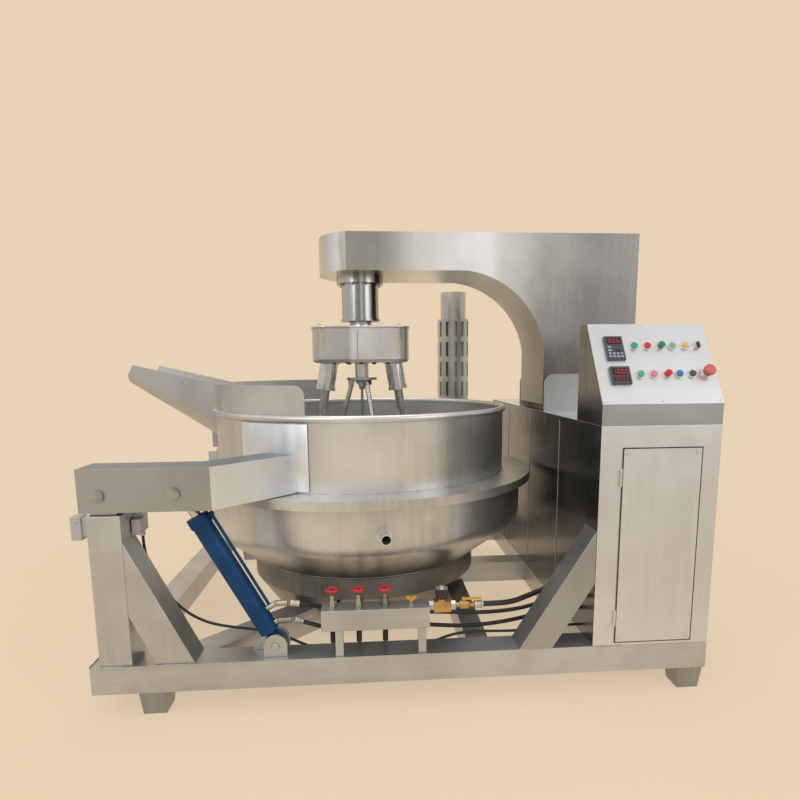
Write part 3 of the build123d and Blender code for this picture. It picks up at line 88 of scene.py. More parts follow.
class Shader:
    """A node material, built from short calls that each return an output socket.

    colour, rough and bump then join one to the surface.
    """

    def __init__(self, name, rough, metal=0.0):
        self.material = bpy.data.materials.new(name)
        self.material.use_nodes = True
        self.tree = self.material.node_tree
        self.surface = self.tree.nodes["Principled BSDF"]
        self.surface.inputs["Metallic"].default_value = metal
        self.surface.inputs["Roughness"].default_value = rough
        self.place = self.tree.nodes.new("ShaderNodeTexCoord").outputs["Object"]

    def node(self, kind, **settings):
        made = self.tree.nodes.new(kind)
        for key, value in settings.items():
            setattr(made, key, value)
        return made

    def join(self, value, socket):
        if isinstance(value, bpy.types.NodeSocket):
            self.tree.links.new(value, socket)
        elif hasattr(value, "__len__") and len(value) == 3 and socket.type == "RGBA":
            socket.default_value = (*value, 1)
        else:
            socket.default_value = value

    def stretch(self, scale, shift):
        mapping = self.node("ShaderNodeMapping")
        self.join(self.place, mapping.inputs["Vector"])
        mapping.inputs["Scale"].default_value = scale
        mapping.inputs["Location"].default_value = shift
        return mapping.outputs["Vector"]

    def noise(self, scale, stretch=(1, 1, 1), detail=4.0, shift=(0, 0, 0), rough=0.55):
        made = self.node("ShaderNodeTexNoise")
        self.join(self.stretch(stretch, shift), made.inputs["Vector"])
        made.inputs["Scale"].default_value = scale
        made.inputs["Detail"].default_value = detail
        made.inputs["Roughness"].default_value = rough
        return made.outputs["Fac"]

    def axis(self, name):
        split = self.node("ShaderNodeSeparateXYZ")
        self.join(self.place, split.inputs[0])
        return split.outputs[name]

    def angle(self):
        """0 to 1 round the kettle's axis: 0 at -X, 0.25 at -Y and 0.5 at +X."""
        made = self.node("ShaderNodeTexGradient", gradient_type="RADIAL")
        self.join(self.place, made.inputs["Vector"])
        return made.outputs["Fac"]

    def calc(self, operation, a, b, clamp=False):
        made = self.node("ShaderNodeMath", operation=operation, use_clamp=clamp)
        self.join(a, made.inputs[0])
        self.join(b, made.inputs[1])
        return made.outputs[0]

    def between(self, value, low, high, to_low=0.0, to_high=1.0, smooth=True):
        made = self.node("ShaderNodeMapRange")
        made.interpolation_type = "SMOOTHSTEP" if smooth else "LINEAR"
        self.join(value, made.inputs["Value"])
        for key, number in (("From Min", low), ("From Max", high),
                            ("To Min", to_low), ("To Max", to_high)):
            made.inputs[key].default_value = number
        return made.outputs["Result"]

    def ramp(self, value, stops):
        """Colours laid along a value from 0 to 1, easing from each to the next."""
        made = self.node("ShaderNodeValToRGB")
        made.color_ramp.interpolation = "EASE"
        set_stops(made.color_ramp, stops)
        self.join(value, made.inputs["Fac"])
        return made.outputs["Color"]

    def base_colour(self):
        """The output that colours the surface so far."""
        return self.surface.inputs["Base Color"].links[0].from_socket

    def mix(self, fac, a, b, blend="MIX"):
        """Two colours mixed; a Mix node has its colour sockets at 6 and 7, and 2 going out."""
        made = self.node("ShaderNodeMix", data_type="RGBA", blend_type=blend)
        self.join(fac, made.inputs[0])
        self.join(a, made.inputs[6])
        self.join(b, made.inputs[7])
        return made.outputs[2]

    def grey(self, value):
        made = self.node("ShaderNodeRGBToBW")
        self.join(value, made.inputs[0])
        return made.outputs[0]

    def colour(self, value):
        self.join(value, self.surface.inputs["Base Color"])

    def rough(self, value):
        self.join(value, self.surface.inputs["Roughness"])

    def bump(self, height, strength, distance):
        made = self.node("ShaderNodeBump")
        made.inputs["Strength"].default_value = strength
        made.inputs["Distance"].default_value = distance
        self.join(height, made.inputs["Height"])
        self.join(made.outputs["Normal"], self.surface.inputs["Normal"])


GRAINS = {"x": (0.6, 60, 60), "z": (60, 60, 0.6)}     # scales that draw lines along an axis


def brushed(name, tone, grain, rough, soil, warm=0.0, turned=False, metal=0.85):
    """Brushed stainless steel: fine lines along the grain, cloudy tone and faint marks.

    soil sets how far the tone wanders, warm adds tea-coloured stains, and turned stretches
    the highlights round the axis as on spun sheet.
    """
    s = Shader(name, metal=metal, rough=rough)
    lines = s.noise(9, GRAINS[grain], detail=3)
    clouds = s.noise(2.6, detail=3, rough=0.6, shift=(3, 1, 2))
    wide_grain = tuple(0.35 * v + 0.6 for v in GRAINS[grain])
    streaks = s.noise(2.0, wide_grain, detail=2, shift=(5, 2, 1))
    deep = tuple(c * (1 - 1.7 * soil) for c in tone)
    high = tuple(min(1.0, c * (1 + 0.8 * soil)) for c in tone)
    base = s.mix(s.between(clouds, 0.32, 0.68), deep, high)
    base = s.mix(s.between(streaks, 0.35, 0.7, 0, 0.35), base, high)
    if warm:
        stain = s.between(s.noise(5, detail=5, shift=(9, 4, 7)), 0.56, 0.72, 0, warm)
        base = s.mix(stain, base, (0.42, 0.27, 0.15))
    s.colour(s.mix(s.between(lines, 0.3, 0.7, 0, 0.18), base, deep))
    s.rough(s.between(s.calc("ADD", lines, clouds), 0.7, 1.3, rough - 0.07, rough + 0.09))
    s.bump(lines, 0.10, 0.0006)
    if turned:
        s.surface.inputs["Anisotropic"].default_value = 0.6
        tangent = s.node("ShaderNodeTangent", direction_type="RADIAL", axis="Z")
        s.join(tangent.outputs[0], s.surface.inputs["Tangent"])
    return s


def painted(name, tone, rough, worn=0.0, metal_under=(0.5, 0.5, 0.48), coat=0.3):
    """Gloss paint with orange peel, dulled patches and chips down to the metal."""
    s = Shader(name, rough=rough)
    patch = s.noise(14, detail=4)
    base = s.mix(s.between(patch, 0.35, 0.7), tone, tuple(c * 0.72 for c in tone))
    if worn:
        flakes = s.noise(55, detail=6, rough=0.7, shift=(2, 5, 1))
        base = s.mix(s.between(flakes, 0.70 - worn, 0.74 - worn), base, metal_under)
    s.colour(base)
    s.rough(s.between(patch, 0.3, 0.7, rough - 0.08, rough + 0.12))
    s.bump(s.noise(320, detail=2), 0.06, 0.0004)
    s.surface.inputs["Coat Weight"].default_value = coat
    s.surface.inputs["Coat Roughness"].default_value = 0.12
    return s


def plastic(name, tone, rough):
    """Moulded plastic with a faint grain and uneven sheen."""
    s = Shader(name, rough=rough)
    shade = s.noise(40, detail=3)
    s.colour(s.mix(s.between(shade, 0.3, 0.7), tone, tuple(c * 0.82 for c in tone)))
    s.rough(s.between(shade, 0.3, 0.7, rough - 0.05, rough + 0.08))
    s.bump(s.noise(900, detail=2), 0.08, 0.0002)
    return s


def rubber(name):
    """Black hose rubber with dust lying on it."""
    s = Shader(name, rough=0.55)
    dust = s.between(s.noise(30, detail=5), 0.5, 0.75, 0, 0.35)
    s.colour(s.mix(dust, (0.018, 0.018, 0.019), (0.10, 0.095, 0.085)))
    s.rough(s.between(s.noise(60), 0.3, 0.7, 0.42, 0.66))
    s.bump(s.noise(700, detail=2), 0.12, 0.0003)
    return s


def cast(name, tone, metal, rough):
    """Cast or plated metal with a fine pitted grain."""
    s = Shader(name, metal=metal, rough=rough)
    grain = s.noise(180, detail=4)
    tint = s.noise(22, detail=3, shift=(1, 3, 2))
    s.colour(s.mix(s.between(tint, 0.35, 0.68), tone, tuple(c * 0.62 for c in tone)))
    s.rough(s.between(grain, 0.3, 0.7, rough - 0.08, rough + 0.12))
    s.bump(grain, 0.22, 0.0008)
    return s


def around(name, tone, rough):
    """Spun steel round the kettle's axis, with soft upright bands of light and shade."""
    s = brushed(name, tone, "z", rough, 0.10, turned=True, metal=0.8)
    sheen = s.ramp(s.angle(), [
        (0.0, 0.66), (0.10, 0.78), (0.15, 0.90), (0.19, 0.80), (0.24, 1.0), (0.31, 1.0),
        (0.35, 0.92), (0.42, 0.72), (0.5, 0.70), (0.64, 0.95), (0.78, 0.75), (0.90, 0.98)])
    s.colour(s.mix(1.0, s.base_colour(), sheen, "MULTIPLY"))
    return s


def darker_foot_steel(name, tone):
    """Stainless steel, darker and warmer towards its foot."""
    s = brushed(name, tone, "z", rough=0.36, soil=0.16)
    wave = s.calc("ADD", s.axis("Z"), s.calc("MULTIPLY", s.noise(6, detail=3), 0.05))
    low = s.between(wave, 0.34, 0.50, 0.88, 0.0)
    s.colour(s.mix(low, s.base_colour(), (0.045, 0.040, 0.036)))
    return s


def along(name, low, high, stops):
    """Brushed steel with painted reflections: broad soft bands of light and shade in its colour
    from X low to X high.
    """
    plain, back_to_one = 0.6, 1.667
    s = brushed(name, (plain, plain, plain), "z", 0.30, 0.10)
    fine = s.calc("MULTIPLY", s.grey(s.base_colour()), back_to_one)
    broad = s.calc("ADD", s.axis("X"), s.calc("MULTIPLY", s.noise(3, detail=2), 0.05))
    # painted reflections: light and dark bands laid along X, multiplied by the fine brushed grain
    tone = s.ramp(s.between(broad, low, high, smooth=False), stops)
    s.colour(s.mix(1.0, tone, fine, "MULTIPLY"))
    return s


def banded(name, bands):
    """Polished round bar: light and dark stripes as its surroundings give it."""
    s = Shader(name, metal=1.0, rough=0.27)
    stripes = s.ramp(s.angle(), bands)
    fine = s.noise(12, (40, 40, 0.8), detail=2)
    s.colour(s.mix(s.between(fine, 0.3, 0.7, 0, 0.25), stripes, (0.35, 0.34, 0.32)))
    s.bump(fine, 0.06, 0.0004)
    return s


FRAME_GREY = (0.56, 0.57, 0.585)

dull_steel = brushed("dull_steel", (0.36, 0.365, 0.37), "z", 0.42, 0.14)
brace_steel = brushed("brace_steel", (0.40, 0.405, 0.41), "z", 0.36, 0.10)
frame_steel = brushed("frame_steel", FRAME_GREY, "x", 0.36, 0.12, warm=0.25)
post_steel = brushed("post_steel", FRAME_GREY, "z", 0.36, 0.10)
cabinet_steel = brushed("cabinet_steel", (0.70, 0.72, 0.74), "z", 0.36, 0.07, metal=0.75)
beam_steel = brushed("beam_steel", (0.40, 0.41, 0.40), "z", 0.36, 0.08)
pin_steel = cast("pin_steel", (0.44, 0.43, 0.41), 0.9, 0.42)
# painted light and shade: a lighter copy of the beam steel for the beams' slanted faces, a darker
# copy for their tops
beam_face_painted_light = brushed("beam_face_painted_light", (0.80, 0.82, 0.84), "z", 0.36, 0.06)
beam_top_painted_shade = brushed("beam_top_painted_shade", (0.24, 0.26, 0.30), "x", 0.42, 0.06)
# painted shade: a near-black copy of the cabinet steel for the cabinet's shaded left side
cabinet_painted_shade = brushed("cabinet_side_painted_shade", (0.15, 0.15, 0.15), "z", 0.20, 0.30)
# painted reflections: bands of light and shade along the arm
arm_steel = along("arm_steel", -0.17, 1.14, [
    (0.0, (0.56, 0.55, 0.53)), (0.085, (0.78, 0.77, 0.75)), (0.105, (0.36, 0.34, 0.30)),
    (0.20, (0.40, 0.38, 0.34)), (0.34, (0.84, 0.83, 0.81)), (0.53, (1.0, 1.0, 1.0)),
    (0.60, (0.70, 0.69, 0.67)), (0.74, (0.42, 0.41, 0.39)), (0.9, (0.27, 0.265, 0.25)),
    (1.0, (0.24, 0.235, 0.22))])
# painted reflection: a bright band across the planetary head
head_steel = along("head_steel", -0.20, 0.20, [
    (0.0, (0.56, 0.55, 0.53)), (0.44, (0.50, 0.49, 0.47)), (0.50, (0.78, 0.77, 0.75)),
    (0.90, (0.76, 0.75, 0.73)), (1.0, (0.50, 0.49, 0.46))])
face_steel = brushed("console_face", (0.68, 0.685, 0.685), "x", 0.42, 0.03)
bowl_steel = around("bowl_steel", (0.74, 0.735, 0.72), 0.34)
jacket_steel = darker_foot_steel("jacket_steel", (0.66, 0.65, 0.63))
furnace_steel = brushed("furnace_steel", (0.28, 0.27, 0.25), "z", 0.36, 0.22)
guard_steel = brushed("guard_steel", (0.56, 0.55, 0.52), "z", 0.30, 0.10)
tool_steel = brushed("tool_steel", (0.48, 0.47, 0.44), "z", 0.26, 0.14)
bar_steel = brushed("bar_steel", (0.70, 0.70, 0.68), "z", 0.16, 0.06)
column_steel = banded("column_steel", [
    (0.0, 0.30), (0.055, 0.34), (0.08, 0.56), (0.185, 0.54), (0.200, 0.74), (0.212, 0.26),
    (0.244, 0.24), (0.262, 0.62), (0.285, 0.28), (0.30, 0.50), (0.345, 0.42), (0.365, 0.04),
    (0.405, 0.03), (0.425, 0.36), (0.5, 0.44), (0.62, 0.70), (0.75, 0.40), (0.88, 0.66)])
red_brown = painted("red_brown_primer", (0.17, 0.055, 0.035), 0.5, 0.03, (0.25, 0.12, 0.08), 0.0)
drive_grey = painted("drive_grey", (0.16, 0.17, 0.19), 0.45)
cylinder_blue = painted("cylinder_blue", (0.0015, 0.048, 0.155), 0.42, 0.02,
                        (0.06, 0.10, 0.15), 0.0)
cylinder_blue.surface.inputs["Specular IOR Level"].default_value = 0.25
wheel_red = painted("wheel_red", (0.50, 0.018, 0.025), 0.32, 0.04)
cock_yellow = painted("cock_yellow", (0.72, 0.36, 0.03), 0.40, 0.03)
plated = cast("plated_fitting", (0.50, 0.48, 0.40), 1.0, 0.32)
zinc = cast("zinc_union", (0.74, 0.72, 0.68), 0.9, 0.38)
brass = cast("valve_brass", (0.62, 0.41, 0.16), 1.0, 0.34)
iron = cast("burner_iron", (0.035, 0.034, 0.033), 0.4, 0.6)
black_plastic = plastic("black_plastic", (0.02, 0.021, 0.023), 0.38)
slate_plastic = plastic("slate_plastic", (0.055, 0.068, 0.085), 0.38)
lamp_green = plastic("lamp_green", (0.20, 0.42, 0.32), 0.2)
lamp_yellow = plastic("lamp_yellow", (0.75, 0.42, 0.05), 0.2)
hose_rubber = rubber("hose_rubber")
weld_steel = cast("weld_steel", (0.52, 0.50, 0.47), 0.9, 0.34)
dark_steel = cast("dark_fastener", (0.10, 0.095, 0.09), 0.8, 0.42)
screen_black = plastic("display_window", (0.010, 0.008, 0.010), 0.12)
key_grey = plastic("key_grey", (0.38, 0.40, 0.42), 0.45)
digit_red = plastic("digit_red", (0.60, 0.02, 0.02), 0.4)
digit_red.surface.inputs["Emission Color"].default_value = (0.9, 0.03, 0.02, 1)
digit_red.surface.inputs["Emission Strength"].default_value = 0.35

BUTTONS = {
    "stirrer_start_button": (0.005, 0.36, 0.30), "stirrer_stop_button": (0.62, 0.02, 0.04),
    "arm_up_button": (0.005, 0.24, 0.09), "tilt_up_button": (0.12, 0.36, 0.27),
    "tilt_down_button": (0.70, 0.24, 0.22), "burner_stop_button": (0.64, 0.02, 0.04),
    "arm_down_button": (0.02, 0.18, 0.47), "reset_button": (0.06, 0.065, 0.07),
    "emergency_stop": (0.62, 0.12, 0.12), "selector_switch": (0.62, 0.62, 0.62),
}

# ---------------------------------------------------------------- CAD nodes
LOOKS = {
    "base_frame": frame_steel, "base_feet": dull_steel, "side_stands": post_steel,
    "cabinet_braces": brace_steel, "limit_switch": frame_steel, "cylinder_mounts": frame_steel,
    "furnace_shell": furnace_steel, "burner_ring": iron, "chimney_flue": guard_steel,
    "chimney_guard": guard_steel, "gas_manifold": frame_steel, "gas_valves": plated,
    "solenoid_valve": brass, "cabinet_body": cabinet_steel, "cabinet_front_panel": cabinet_steel,
    "panel_screws": bar_steel, "console_housing": brace_steel, "console_panel": face_steel,
    "console_instruments": slate_plastic, "button_bezels": bar_steel, "arm_cheeks": cabinet_steel,
    "arm_housing": arm_steel, "arm_frame": red_brown, "stirrer_drive": drive_grey,
    "drive_column": column_steel, "head_housing": head_steel, "head_legs": bar_steel,
    "wall_scraper": tool_steel, "side_stirrer": tool_steel, "centre_whisk": tool_steel,
    "cylinder_barrels": cylinder_blue, "cylinder_fittings": plated, "cylinder_rods": bar_steel,
    "handwheel_left": wheel_red, "handwheel_middle": wheel_red, "handwheel_right": wheel_red,
    "pilot_cock_wing": cock_yellow, "main_cock_lever": cock_yellow, "tilt_beams": beam_steel,
    "tilt_pins": pin_steel, "kettle_bowl": bowl_steel, "kettle_jacket": jacket_steel,
    "pouring_spout": bowl_steel, "splash_guards": bowl_steel, "drain_port": bar_steel,
    "indicator_lamps": lamp_green,
}
for node_name, tone in BUTTONS.items():
    LOOKS[node_name] = plastic(node_name, tone, 0.25)

# widths of the rounded edges
SOFT_EDGES = {
    "base_frame": 0.004, "base_feet": 0.003, "side_stands": 0.004, "cabinet_braces": 0.004,
    "tilt_beams": 0.003, "cabinet_body": 0.003, "console_housing": 0.002, "console_panel": 0.0008,
    "head_housing": 0.002, "gas_manifold": 0.002, "cylinder_mounts": 0.002,
}


def round_edges(obj, width):
    """A bevel of the given width on the edges sharper than 35 degrees."""
    bevel = obj.modifiers.new("bevel", "BEVEL")
    bevel.width = width
    bevel.segments = 2
    bevel.limit_method = "ANGLE"
    bevel.angle_limit = math.radians(35)
    return bevel


def smooth_edges(obj, width):
    """Joins the mesh's split vertices and flat faces, then rounds its sharp edges."""
    weld = obj.modifiers.new("weld", "WELD")
    weld.merge_threshold = 0.00002
    flats = obj.modifiers.new("flats", "DECIMATE")
    flats.decimate_type = "DISSOLVE"
    flats.angle_limit = math.radians(0.5)
    bevel = round_edges(obj, width)
    bevel.harden_normals = True
    bevel.use_clamp_overlap = True


for node_name, shader in LOOKS.items():
    obj = nodes[node_name]
    obj.data.materials.clear()
    obj.data.materials.append(shader.material)
    if node_name in SOFT_EDGES:
        smooth_edges(obj, SOFT_EDGES[node_name])


def paint(node_name, shader, where):
    """Gives another material to the faces whose centre and normal satisfy where()."""
    mesh = nodes[node_name].data
    mesh.materials.append(shader.material)
    slot = len(mesh.materials) - 1
    for face in mesh.polygons:
        if where(face.center, face.normal):
            face.material_index = slot


# places on the machine that the small pieces share
frame_front, frame_inner = 0.797, 0.697     # faces of the long rails, either side of the middle
rail_top = 0.172
cabinet_left = 0.755
head_bottom = 1.115

# console panel: thickness of its plate, its lower left corner and its slope
face_plate = 0.002
panel_origin = Vector((cabinet_left, -frame_front, 0.972))
panel_up = Vector((0, 0.522796, 0.852458))
panel_out = Vector((0, -0.852458, 0.522796))
cap_low = 0.0082           # height on the panel where the selector's knob starts
side_sheet = 0.0015        # how far past the cabinet's left face a centre still counts as on it


def above_panel(place):
    """Height of a place over the underside of the face plate."""
    return (Vector(place) - panel_origin).dot(panel_out)


# painted shade: the left faces of the cabinet and of the console housing take the dark copy of
# their steel
paint("cabinet_body", cabinet_painted_shade, lambda c, n: c.x < cabinet_left + side_sheet and c.z < 0.905)
paint("console_housing", cabinet_painted_shade, lambda c, n: c.x < cabinet_left + side_sheet)
paint("solenoid_valve", black_plastic, lambda c, n: c.z > 0.3445 and c.x < 0.28)
paint("solenoid_valve", bar_steel, lambda c, n: c.z > 0.3775)
paint("solenoid_valve", zinc, lambda c, n: c.x < 0.2295 or 0.2855 < c.x < 0.3015)
paint("gas_valves", iron, lambda c, n: c.z < 0.257)
paint("cylinder_fittings", cylinder_blue, lambda c, n: c.z > 0.362)
paint("indicator_lamps", lamp_yellow, lambda c, n: c.x > 1.045)
# painted shade on the beams' upward faces and painted light on their slanted front and back faces
paint("tilt_beams", beam_top_painted_shade, lambda c, n: n.z > 0.9)
paint("tilt_beams", beam_face_painted_light, lambda c, n: abs(n.y) > 0.5 and abs(n.x) > 0.15)
paint("selector_switch", black_plastic, lambda c, n: above_panel(c) > cap_low + face_plate)

# ---------------------------------------------------------------- cords
# routes, each from its fitting to the left side of the cabinet
HOSE_HIGH = [
    (-0.237, -0.743, 0.341), (-0.196, -0.739, 0.334), (-0.140, -0.703, 0.305),
    (-0.040, -0.688, 0.278), (0.090, -0.684, 0.268), (0.240, -0.676, 0.262),
    (0.400, -0.662, 0.244), (0.540, -0.648, 0.246), (0.640, -0.641, 0.270),
    (0.705, -0.640, 0.285), (0.755, -0.640, 0.285),
]
HOSE_LOW = [
    (-0.225, -0.743, 0.284), (-0.187, -0.741, 0.270), (-0.120, -0.722, 0.238),
    (0.000, -0.696, 0.240), (0.110, -0.689, 0.238), (0.230, -0.682, 0.216),
    (0.370, -0.668, 0.200), (0.510, -0.652, 0.206), (0.630, -0.641, 0.228),
    (0.712, -0.638, 0.240), (0.755, -0.638, 0.240),
]
GAS_HOSE = [
    (0.364, -0.756, 0.318), (0.424, -0.756, 0.318), (0.500, -0.716, 0.303),
    (0.576, -0.668, 0.306), (0.652, -0.649, 0.326), (0.705, -0.648, 0.337),
    (0.755, -0.648, 0.337),
]
SWITCH_CABLE = [
    (-0.709, -0.676, 0.562), (-0.709, -0.676, 0.520), (-0.698, -0.672, 0.450),
    (-0.655, -0.672, 0.368), (-0.600, -0.674, 0.300), (-0.530, -0.673, 0.254),
    (-0.450, -0.672, 0.233), (-0.367, -0.672, 0.222), (-0.275, -0.674, 0.198),
    (-0.186, -0.678, 0.152), (-0.090, -0.682, 0.128), (0.020, -0.683, 0.123),
    (0.130, -0.681, 0.131), (0.230, -0.684, 0.154), (0.310, -0.686, 0.185),
    (0.400, -0.686, 0.189), (0.500, -0.680, 0.181), (0.610, -0.666, 0.178),
    (0.690, -0.660, 0.186), (0.755, -0.660, 0.186),
]


def link(obj):
    bpy.context.scene.collection.objects.link(obj)
    return obj


def flexible(name, route, diameter):
    """A hose or cable on one smooth curve along its route."""
    curve = bpy.data.curves.new(name, "CURVE")
    curve.dimensions = "3D"
    curve.bevel_depth = diameter / 2
    curve.bevel_resolution = 5
    curve.use_fill_caps = True
    spline = curve.splines.new("NURBS")
    spline.points.add(len(route) - 1)
    for point, place in zip(spline.points, route):
        point.co = (*place, 1)
    spline.order_u = 3
    spline.use_endpoint_u = True
    spline.resolution_u = 12
    curve.materials.append(hose_rubber.material)
    obj = link(bpy.data.objects.new(name + "_curve", curve))
    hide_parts(name)
    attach(obj, "machine_frame")


flexible("hydraulic_hose_high", HOSE_HIGH, 0.014)
flexible("hydraulic_hose_low", HOSE_LOW, 0.014)
flexible("gas_hose", GAS_HOSE, 0.018)
flexible("switch_cable", SWITCH_CABLE, 0.009)


# ---------------------------------------------------------------- small pieces
def lathe(bm, base, axis, profile, sides=24, turn=0.0):
    """A (radius, height) profile turned round an axis from a base point."""
    base, axis = Vector(base), Vector(axis).normalized()
    u = axis.orthogonal().normalized()
    v = axis.cross(u)
    rings = []
    for radius, height in profile:
        centre = base + axis * height
        if radius < 1e-6:
            rings.append([bm.verts.new(centre)])
        else:
            steps = (turn + 2 * math.pi * k / sides for k in range(sides))
            spokes = (u * math.cos(t) + v * math.sin(t) for t in steps)
            rings.append([bm.verts.new(centre + spoke * radius) for spoke in spokes])
    for a, b in zip(rings, rings[1:]):
        for k in range(sides):
            j = (k + 1) % sides
            if len(a) == 1:
                bm.faces.new((a[0], b[j], b[k]))
            elif len(b) == 1:
                bm.faces.new((a[k], a[j], b[0]))
            else:
                bm.faces.new((a[k], a[j], b[j], b[k]))


def bolt(bm, place, axis, radius):
    """Hexagon head with a chamfered top on a thin washer."""
    thin, tall, wide = 0.22 * radius, 0.85 * radius, 1.45 * radius
    head = [(0, thin), (radius, thin), (radius, 0.85 * tall), (0.86 * radius, tall), (0, tall)]
    lathe(bm, place, axis, [(0, 0), (wide, 0), (wide, thin), (0, thin)])
    lathe(bm, place, axis, head, 6, 0.3)


def slab(bm, centre, across, up, size):
    """A rectangular bar about a centre, along two directions."""
    across, up = Vector(across).normalized(), Vector(up).normalized()
    out = across.cross(up)
    corners = []
    for i in (-0.5, 0.5):
        for j in (-0.5, 0.5):
            for k in (-0.5, 0.5):
                offset = across * i * size[0] + up * j * size[1] + out * k * size[2]
                corners.append(bm.verts.new(Vector(centre) + offset))
    for quad in ((0, 1, 3, 2), (4, 6, 7, 5), (0, 4, 5, 1),
                 (2, 3, 7, 6), (0, 2, 6, 4), (1, 5, 7, 3)):
        bm.faces.new([corners[n] for n in quad])


def bead(bm, start, end):
    """A weld bead: a rippled half-sunk string of overlapping puddles."""
    radius, pitch = 0.0022, 0.0045
    start, end = Vector(start), Vector(end)
    run = end - start
    count = max(6, int(run.length / pitch))
    profile = [(0, 0)]
    for k in range(count + 1):
        profile.append((radius * random.uniform(0.85, 1.1), run.length * (k + 0.02) / (count + 1)))
        profile.append((radius * 0.72, run.length * (k + 0.8) / (count + 1)))
    profile.append((0, run.length))
    lathe(bm, start, run, profile, 8)


def piece(name, body, shader, bm, bevel=0.0, angle=38):
    """Turns a bmesh into a piece that rides on a body; edges sharper than angle stay sharp."""
    bmesh.ops.recalc_face_normals(bm, faces=bm.faces)
    mesh = bpy.data.meshes.new(name)
    bm.to_mesh(mesh)
    bm.free()
    mesh.materials.append(shader.material)
    for face in mesh.polygons:
        face.use_smooth = True
    mesh.set_sharp_from_angle(angle=math.radians(angle))
    obj = link(bpy.data.objects.new(name, mesh))
    if bevel:
        round_edges(obj, bevel)
    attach(obj, body)


def hose_ends():
    """Crimped ferrules where the hoses leave their fittings, and the cable's clamp."""
    for name, route, radius in (("high", HOSE_HIGH, 0.007), ("low", HOSE_LOW, 0.007),
                                ("gas", GAS_HOSE, 0.009)):
        bm = bmesh.new()
        start, ahead = Vector(route[0]), Vector(route[1]) - Vector(route[0])
        full, pressed = radius + 0.0036, radius + 0.0018
        crimp = [(radius * 0.9, 0.0005), (radius + 0.0032, 0.001), (full, 0.004)]
        for k in range(3):
            at = 0.007 + 0.0065 * k
            crimp += [(full, at), (pressed, at + 0.0015),
                      (pressed, at + 0.003), (full, at + 0.0045)]
        crimp += [(radius + 0.003, 0.029), (radius * 0.9, 0.030)]
        lathe(bm, start, ahead, crimp, 28)
        piece("ferrule_" + name, "machine_frame", zinc, bm)
    bm = bmesh.new()
    place = Vector((-0.6535, -0.672, 0.367))
    along_cable = Vector((0.055, -0.002, -0.068))
    lathe(bm, place - along_cable.normalized() * 0.008, along_cable,
          [(0.0047, 0), (0.0072, 0.0005), (0.0078, 0.003), (0.0078, 0.013), (0.0072, 0.0155),
           (0.0047, 0.016)], 24)
    tab = place + Vector((-0.012, 0.0, -0.010))
    slab(bm, tab, (1, 0, 0.8), (0, 1, 0), (0.022, 0.014, 0.003))
    piece("cable_clamp", "machine_frame", zinc, bm, 0.0006)


SEGMENTS = {"0": "abcdef", "1": "bc", "2": "abged", "5": "afgcd", "8": "abcdefg"}
# where each stroke lies in half widths and half heights of a figure, and whether it is flat
STROKES = {"a": (0, 1, 1), "b": (0.5, 0.5, 0), "c": (0.5, -0.5, 0), "d": (0, -1, 1),
           "e": (-0.5, -0.5, 0), "f": (-0.5, 0.5, 0), "g": (0, 0, 1)}


def panel_point(u, v, height):
    """Place on the console panel: u across, v up the slope, height over its face plate."""
    return panel_origin + Vector((u, 0, 0)) + panel_up * v + panel_out * (face_plate + height)


def panel_slab(bm, u, v, height, size):
    """A box lying on the slope of the console panel."""
    slab(bm, panel_point(u, v, height), (1, 0, 0), panel_up, size)


def console_faces():
    """Display windows with plain figures, the pads of the keypad and the panel's rivets."""
    bm = bmesh.new()
    panel_slab(bm, 0.073, 0.229, 0.0084, (0.046, 0.024, 0.0012))
    panel_slab(bm, 0.074, 0.112, 0.0104, (0.052, 0.024, 0.0012))
    panel_slab(bm, 0.074, 0.086, 0.0104, (0.052, 0.014, 0.0012))
    piece("display_windows", "machine_frame", screen_black, bm, 0.0003)
    bm = bmesh.new()
    for text, u0, v0, height, step, lift in (("1800", 0.0535, 0.112, 0.0145, 0.0135, 0.0112),
                                             ("0250", 0.0575, 0.086, 0.0085, 0.0110, 0.0112),
                                             ("005", 0.0600, 0.229, 0.0130, 0.0130, 0.0092)):
        wide = 0.5 * height
        long, thin = wide * 0.8, height * 0.1
        for k, figure in enumerate(text):
            for stroke in SEGMENTS[figure]:
                x, y, flat = STROKES[stroke]
                size = (long, thin, 0.0004) if flat else (thin, long, 0.0004)
                panel_slab(bm, u0 + k * step + x * wide, v0 + y * height / 2, lift, size)
    piece("display_figures", "machine_frame", digit_red, bm)
    bm = bmesh.new()
    for v in (0.170, 0.181):
        for k in range(4):
            panel_slab(bm, 0.0535 + 0.013 * k, v, 0.0086, (0.009, 0.0065, 0.0014))
    for v in (0.193, 0.205):
        panel_slab(bm, 0.055, v, 0.0086, (0.010, 0.007, 0.0014))
    piece("keypad_pads", "machine_frame", key_grey, bm, 0.0004)
    bm = bmesh.new()
    dome = [(0, 0), (0.0042, 0), (0.0040, 0.0012), (0.0026, 0.0021), (0, 0.0024)]
    for u in (0.010, 0.197, 0.385):
        for v in (0.012, 0.288):
            lathe(bm, panel_point(u, v, 0), panel_out, dome, 20)
    piece("panel_rivets", "machine_frame", bar_steel, bm)


def weld_seams():
    """Beads where the posts, the cabinet and its front brace meet the rails."""
    bm = bmesh.new()
    for side in (-1, 1):
        front, back = side * frame_front, side * frame_inner
        for x0, x1 in ((-0.826, -0.726), (-0.654, -0.534), (cabinet_left, cabinet_left + 0.100)):
            for y in (front, back):
                bead(bm, (x0, y, rail_top), (x1, y, rail_top))
            for x in (x0, x1):
                bead(bm, (x, front, rail_top), (x, back, rail_top))
    foot_left, foot_right = 0.508, 0.620
    corner = (foot_left, -frame_front, rail_top)
    bead(bm, corner, (foot_right, -frame_front, rail_top))
    bead(bm, corner, (foot_left, -frame_inner, rail_top))
    for x in (-0.856, -0.756):
        bead(bm, (x, -frame_inner, rail_top + 0.001), (x, -frame_front, rail_top + 0.001))
    piece("frame_welds", "machine_frame", weld_steel, bm, angle=80)


